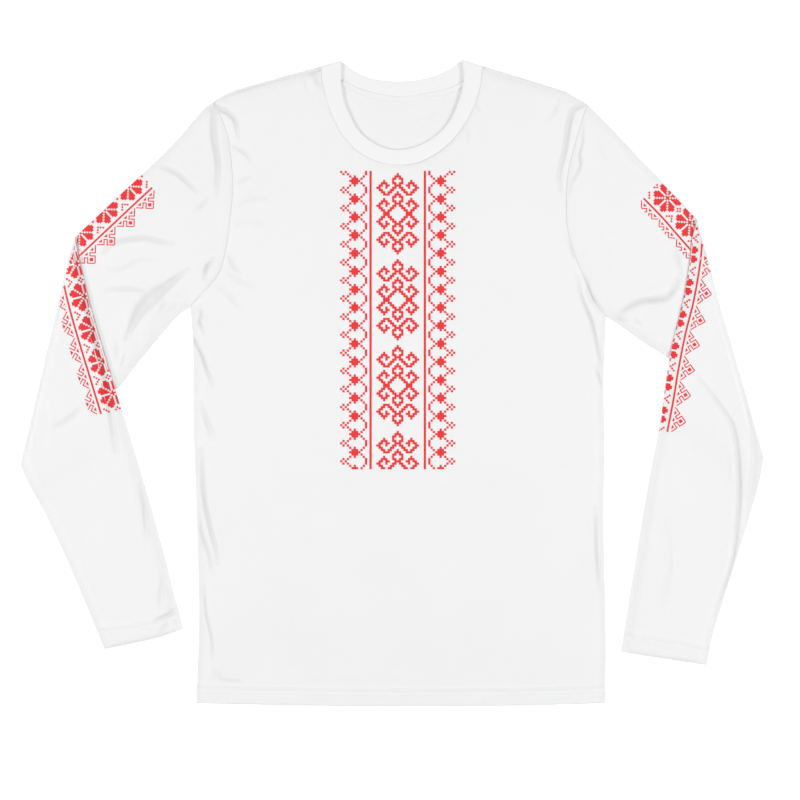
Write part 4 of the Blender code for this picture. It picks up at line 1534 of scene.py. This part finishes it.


def ink_finish(cloth, ink):
    """Screen-printed ink, soaked into the jersey, so the knit shows through it."""
    finish = Finish("red_ink", ink.colour, 0.7, 0.04)
    across, along, place = finish.cloth_place()
    knit = knit_height(across, along, cloth.wale / MM, cloth.wale / MM * 0.8)
    fuzz = finish.noise(place, 1.6, 3.0)
    # Painted shade: the ink is darkened in crease hearts, where shade falls
    shade_level = finish.painted_shade()
    grain = (fuzz - 0.5) * 0.10 + (knit - 0.4) * 0.08
    finish.shaded(ink.colour, grain - shade_level * (INK_SHADING * cloth.shading_strength))
    finish.raised(knit + fuzz * 0.4, 0.0001, 0.5)
    return finish.material


def thread_finish(cloth):
    finish = Finish("white_thread", cloth.rib_colour, 0.6, 0.1)
    _, _, place = finish.cloth_place()
    twist = finish.noise(place, 5.0, 1.0)
    finish.shaded(cloth.rib_colour, (twist - 0.5) * 0.06)
    finish.raised(twist, 0.00008, 0.5)
    return finish.material


def finish_named(name, make, *settings):
    """The finish of that name, made once."""
    return bpy.data.materials.get(name) or make(*settings)


# Settings


def colour_setting(name, description, default):
    return bpy.props.FloatVectorProperty(
        name=name, description=description, subtype="COLOR", default=default, min=0, max=1
    )


def number_setting(name, description, default, low, high, **kind):
    return bpy.props.FloatProperty(
        name=name, description=description, default=default, min=low, max=high, **kind
    )


def share_setting(name, description, default, high):
    return number_setting(name, description, default, 0, high, subtype="FACTOR")


def length_setting(name, description, default, low, high):
    return number_setting(name, description, default, low, high, unit="LENGTH")


def power_setting(name, description, default, high):
    return number_setting(name, description, default, 0, high, unit="POWER")


class ShirtClothSettings(bpy.types.PropertyGroup):
    jersey_colour: colour_setting("Jersey", "Base colour of the jersey", (0.76, 0.76, 0.765))
    rib_colour: colour_setting("Rib", "Base colour of the neckband, tape and thread", (0.76, 0.76, 0.765))
    crease_depth: share_setting("Crease depth", "Depth of the creases as a share of their own", 1.0, 1.5)
    # Strength of the painted shade in the base colour, in creases and beside seams, edges and the forearms
    shading_strength: share_setting("Crease shade", "How much darker the heart of a deep crease is", 0.12, 0.5)
    unevenness: length_setting("Unevenness", "Height of the laid cloth's soft waves", 0.00042, 0, 0.002)
    wale: length_setting("Wale", "Distance between the knit's wales", 0.0009, 0.0004, 0.003)
    rib_pitch: length_setting("Rib pitch", "Distance between the neckband's ribs", 0.0018, 0.001, 0.005)
    stitch_length: length_setting("Stitch", "Length of one stitch", 0.0026, 0.001, 0.006)


class ShirtPrintSettings(bpy.types.PropertyGroup):
    colour: colour_setting("Ink", "Base colour of the printed ink", (0.71, 0.030, 0.034))
    chest_cell: length_setting("Chest cell", "Side of one cell of the chest print", 0.002486, 0.001, 0.006)
    sleeve_cell: length_setting("Sleeve cell", "Side of one cell of the sleeve print", 0.002047, 0.001, 0.006)
    film: length_setting("Film", "How much the ink stands above the cloth", 0.00012, 0.00002, 0.001)


class ShirtStageSettings(bpy.types.PropertyGroup):
    floor_colour: colour_setting("Floor", "Colour of the floor", (0.82, 0.82, 0.82))
    floor_glow: number_setting("Floor glow", "Light of the floor, as under a light table", 0.35, 0, 2)
    side_power: power_setting("Side lights", "Power of the light on each side", 34.0, 500)
    top_power: power_setting("Top light", "Power of the light above the hem", 41.0, 500)
    sky: number_setting("Fill", "Strength of the even light from all round", 0.345, 0, 2)
    frame_width: length_setting("Frame width", "Width that the camera sees at the shirt", 0.88, 0.1, 3)
    camera_height: length_setting("Camera height", "Camera's height above the shirt", 3.0, 1, 10)
    aim: bpy.props.FloatVectorProperty(
        name="Aim",
        description="Where the camera looks",
        subtype="XYZ",
        unit="LENGTH",
        size=3,
        default=(0.0088, -0.0187, 0.003),
    )


class MakeBody(bpy.types.Operator):
    """Front and back panels with their creases and hems"""

    bl_idname = "shirt.make_body"
    bl_label = "Body panels"

    def execute(self, context):
        cloth = context.scene.shirt_cloth
        jersey = finish_named("white_jersey", jersey_finish, cloth)
        back, back_area = back_panel(cloth, jersey)
        front, front_area = front_panel(cloth, jersey)
        context.scene["shirt_back_area"] = back_area
        context.scene["shirt_front_area"] = front_area
        return {"FINISHED"}


class MakeNeck(bpy.types.Operator):
    """Ribbed neckband, front and back, and the tape inside the back of the neck"""

    bl_idname = "shirt.make_neck"
    bl_label = "Neckband and tape"

    def execute(self, context):
        cloth = context.scene.shirt_cloth
        rib = finish_named("white_rib", rib_finish, cloth)
        neckband_back(rib)
        neckband_front(cloth, rib)
        neck_tape(finish_named("white_tape", tape_finish, cloth))
        return {"FINISHED"}


class MakeSleeves(bpy.types.Operator):
    """Both sleeves, each a tube folded once at the elbow"""

    bl_idname = "shirt.make_sleeves"
    bl_label = "Sleeves"

    def execute(self, context):
        cloth = context.scene.shirt_cloth
        jersey = finish_named("white_jersey", jersey_finish, cloth)
        for side, cut, creases, seed in SLEEVES:
            piece, fold_row = sleeve(side + "_sleeve_cloth", cut, creases, cloth, jersey, seed)
            piece["fold_row"] = fold_row
            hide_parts(side + "_sleeve_upper", side + "_sleeve_lower")
        return {"FINISHED"}


class MakePrints(bpy.types.Operator):
    """The printed ornament on the chest and over both sleeves"""

    bl_idname = "shirt.make_prints"
    bl_label = "Prints"

    def execute(self, context):
        cloth = context.scene.shirt_cloth
        ink = context.scene.shirt_print
        red = finish_named("red_ink", ink_finish, cloth, ink)
        chest_print(bpy.data.objects["front_panel_cloth"], ink, red)
        for side, cut, creases, _ in SLEEVES:
            piece = bpy.data.objects[side + "_sleeve_cloth"]
            sleeve_print(side + "_sleeve_print", piece, piece["fold_row"], cut, creases, side, ink, red)
        return {"FINISHED"}


class MakeStitches(bpy.types.Operator):
    """Twin rows of stitches on the hem and cuffs, and single ones at the neck"""

    bl_idname = "shirt.make_stitches"
    bl_label = "Stitches"

    def execute(self, context):
        cloth = context.scene.shirt_cloth
        thread = finish_named("white_thread", thread_finish, cloth)
        length = cloth.stitch_length / MM
        pitch = length * 1.2
        up = (0, 0, 1)
        fine = steps(400)
        front = surface_under(bpy.data.objects["front_panel_cloth"])
        hem = through(HEM)(fine)
        rows = []
        for shift in (0, TWIN_GAP):
            rows.append((front, moved_out(hem, HEM_LINE - shift), up, pitch, length, THREAD))
        stitches("hem_stitches", rows, thread)
        rows = []
        for side, cut, _, _ in SLEEVES:
            surface = surface_under(bpy.data.objects[side + "_sleeve_cloth"])
            line = through(cut["cuff_line"])(fine)
            away = -1 if line[-1, 0] > line[0, 0] else 1
            for shift in (0, TWIN_GAP):
                rows.append((surface, moved_out(line, away * shift), up, pitch, length, THREAD))
        stitches("cuff_stitches", rows, thread)
        band = surface_under(bpy.data.objects["neckband_back_rib"])
        tape = surface_under(bpy.data.objects["neck_tape"])
        shown = through(BACK_NECK_SEAM)(np.linspace(*TAPE_SHOWS, 300))
        rows = [
            (band, moved_out(shown, BAND_STITCH_AT), up, pitch, length, NECK_THREAD),
            (tape, moved_out(shown, -TAPE_WIDTH + TAPE_STITCH_AT), up, pitch, length, NECK_THREAD),
        ]
        stitches("neck_stitches", rows, thread)
        return {"FINISHED"}


class DeclareCloth(bpy.types.Operator):
    """An empty step: it changes nothing"""

    bl_idname = "shirt.declare_cloth"
    bl_label = "Declare the cloth"

    def execute(self, context):
        return {"FINISHED"}


FLOOR_RADIUS = 20.0  # metres
FLOOR_SIDES = 64
SENSOR_WIDTH = 36.0


class MakeStage(bpy.types.Operator):
    """Pale floor, soft studio light and the camera straight above"""

    bl_idname = "shirt.make_stage"
    bl_label = "Stage"

    def execute(self, context):
        settings = context.scene.shirt_stage
        data = bpy.data.meshes.new("floor")
        turns = [2 * math.pi * step / FLOOR_SIDES for step in range(FLOOR_SIDES)]
        rim = [(FLOOR_RADIUS * math.cos(turn), FLOOR_RADIUS * math.sin(turn), 0) for turn in turns]
        data.from_pydata(rim, [], [list(range(FLOOR_SIDES))])
        floor = bpy.data.objects.new("floor", data)
        context.scene.collection.objects.link(floor)
        finish = Finish("pale_floor", settings.floor_colour, 0.95, 0.0)
        finish.shader.inputs["Emission Color"].default_value = (1, 1, 1, 1)
        finish.shader.inputs["Emission Strength"].default_value = settings.floor_glow
        data.materials.append(finish.material)
        aim = Vector(settings.aim)
        for name, place, size, power in (
            ("right_light", (-2.0, 0.15, 1.0), (1.6, 0.5), settings.side_power),
            ("left_light", (2.0, 0.15, 1.0), (1.6, 0.5), settings.side_power),
            ("top_light", (0, -0.4, 3.3), (1.0, 1.0), settings.top_power),
        ):
            lamp = bpy.data.lights.new(name, "AREA")
            lamp.shape = "RECTANGLE"
            lamp.size, lamp.size_y = size
            lamp.energy = power
            light = bpy.data.objects.new(name, lamp)
            context.scene.collection.objects.link(light)
            light.location = place
            target = Vector((0, place[1], place[2])) if place[0] else aim
            light.rotation_euler = (target - light.location).to_track_quat("-Z", "Y").to_euler()
        world = bpy.data.worlds.new("studio")
        world.use_nodes = True
        background = world.node_tree.nodes["Background"]
        background.inputs["Color"].default_value = (1, 1, 1, 1)
        background.inputs["Strength"].default_value = settings.sky
        context.scene.world = world
        context.scene.view_settings.view_transform = "Standard"
        lens = bpy.data.cameras.new("camera")
        lens.sensor_width = SENSOR_WIDTH
        lens.lens = lens.sensor_width * settings.camera_height / settings.frame_width
        lens.clip_end = 100.0
        camera = bpy.data.objects.new("camera", lens)
        context.scene.collection.objects.link(camera)
        camera.location = (aim.x, aim.y, aim.z + settings.camera_height)
        context.scene.camera = camera
        return {"FINISHED"}


OPERATORS = (MakeBody, MakeNeck, MakeSleeves, MakePrints, MakeStitches, DeclareCloth, MakeStage)


class ShirtPanel(bpy.types.Panel):
    bl_idname = "SHIRT_PT_pieces"
    bl_label = "Folk print shirt"
    bl_space_type = "VIEW_3D"
    bl_region_type = "UI"
    bl_category = "Shirt"

    def draw(self, context):
        layout = self.layout
        for group in (context.scene.shirt_cloth, context.scene.shirt_print, context.scene.shirt_stage):
            for setting in group.bl_rna.properties:
                if setting.identifier not in ("rna_type", "name"):
                    layout.prop(group, setting.identifier)
        for operator in OPERATORS:
            layout.operator(operator.bl_idname)


GROUPS = (
    ("shirt_cloth", ShirtClothSettings),
    ("shirt_print", ShirtPrintSettings),
    ("shirt_stage", ShirtStageSettings),
)


def register():
    for name, group in GROUPS:
        bpy.utils.register_class(group)
        setattr(bpy.types.Scene, name, bpy.props.PointerProperty(type=group))
    for shown in OPERATORS + (ShirtPanel,):
        bpy.utils.register_class(shown)


def unregister():
    for shown in reversed(OPERATORS + (ShirtPanel,)):
        bpy.utils.unregister_class(shown)
    for name, group in reversed(GROUPS):
        delattr(bpy.types.Scene, name)
        bpy.utils.unregister_class(group)


def main():
    register()
    bpy.ops.shirt.make_body()
    bpy.ops.shirt.make_neck()
    bpy.ops.shirt.make_sleeves()
    bpy.ops.shirt.make_prints()
    bpy.ops.shirt.make_stitches()
    bpy.ops.shirt.declare_cloth()
    bpy.ops.shirt.make_stage()


if __name__ == "__main__":
    main()
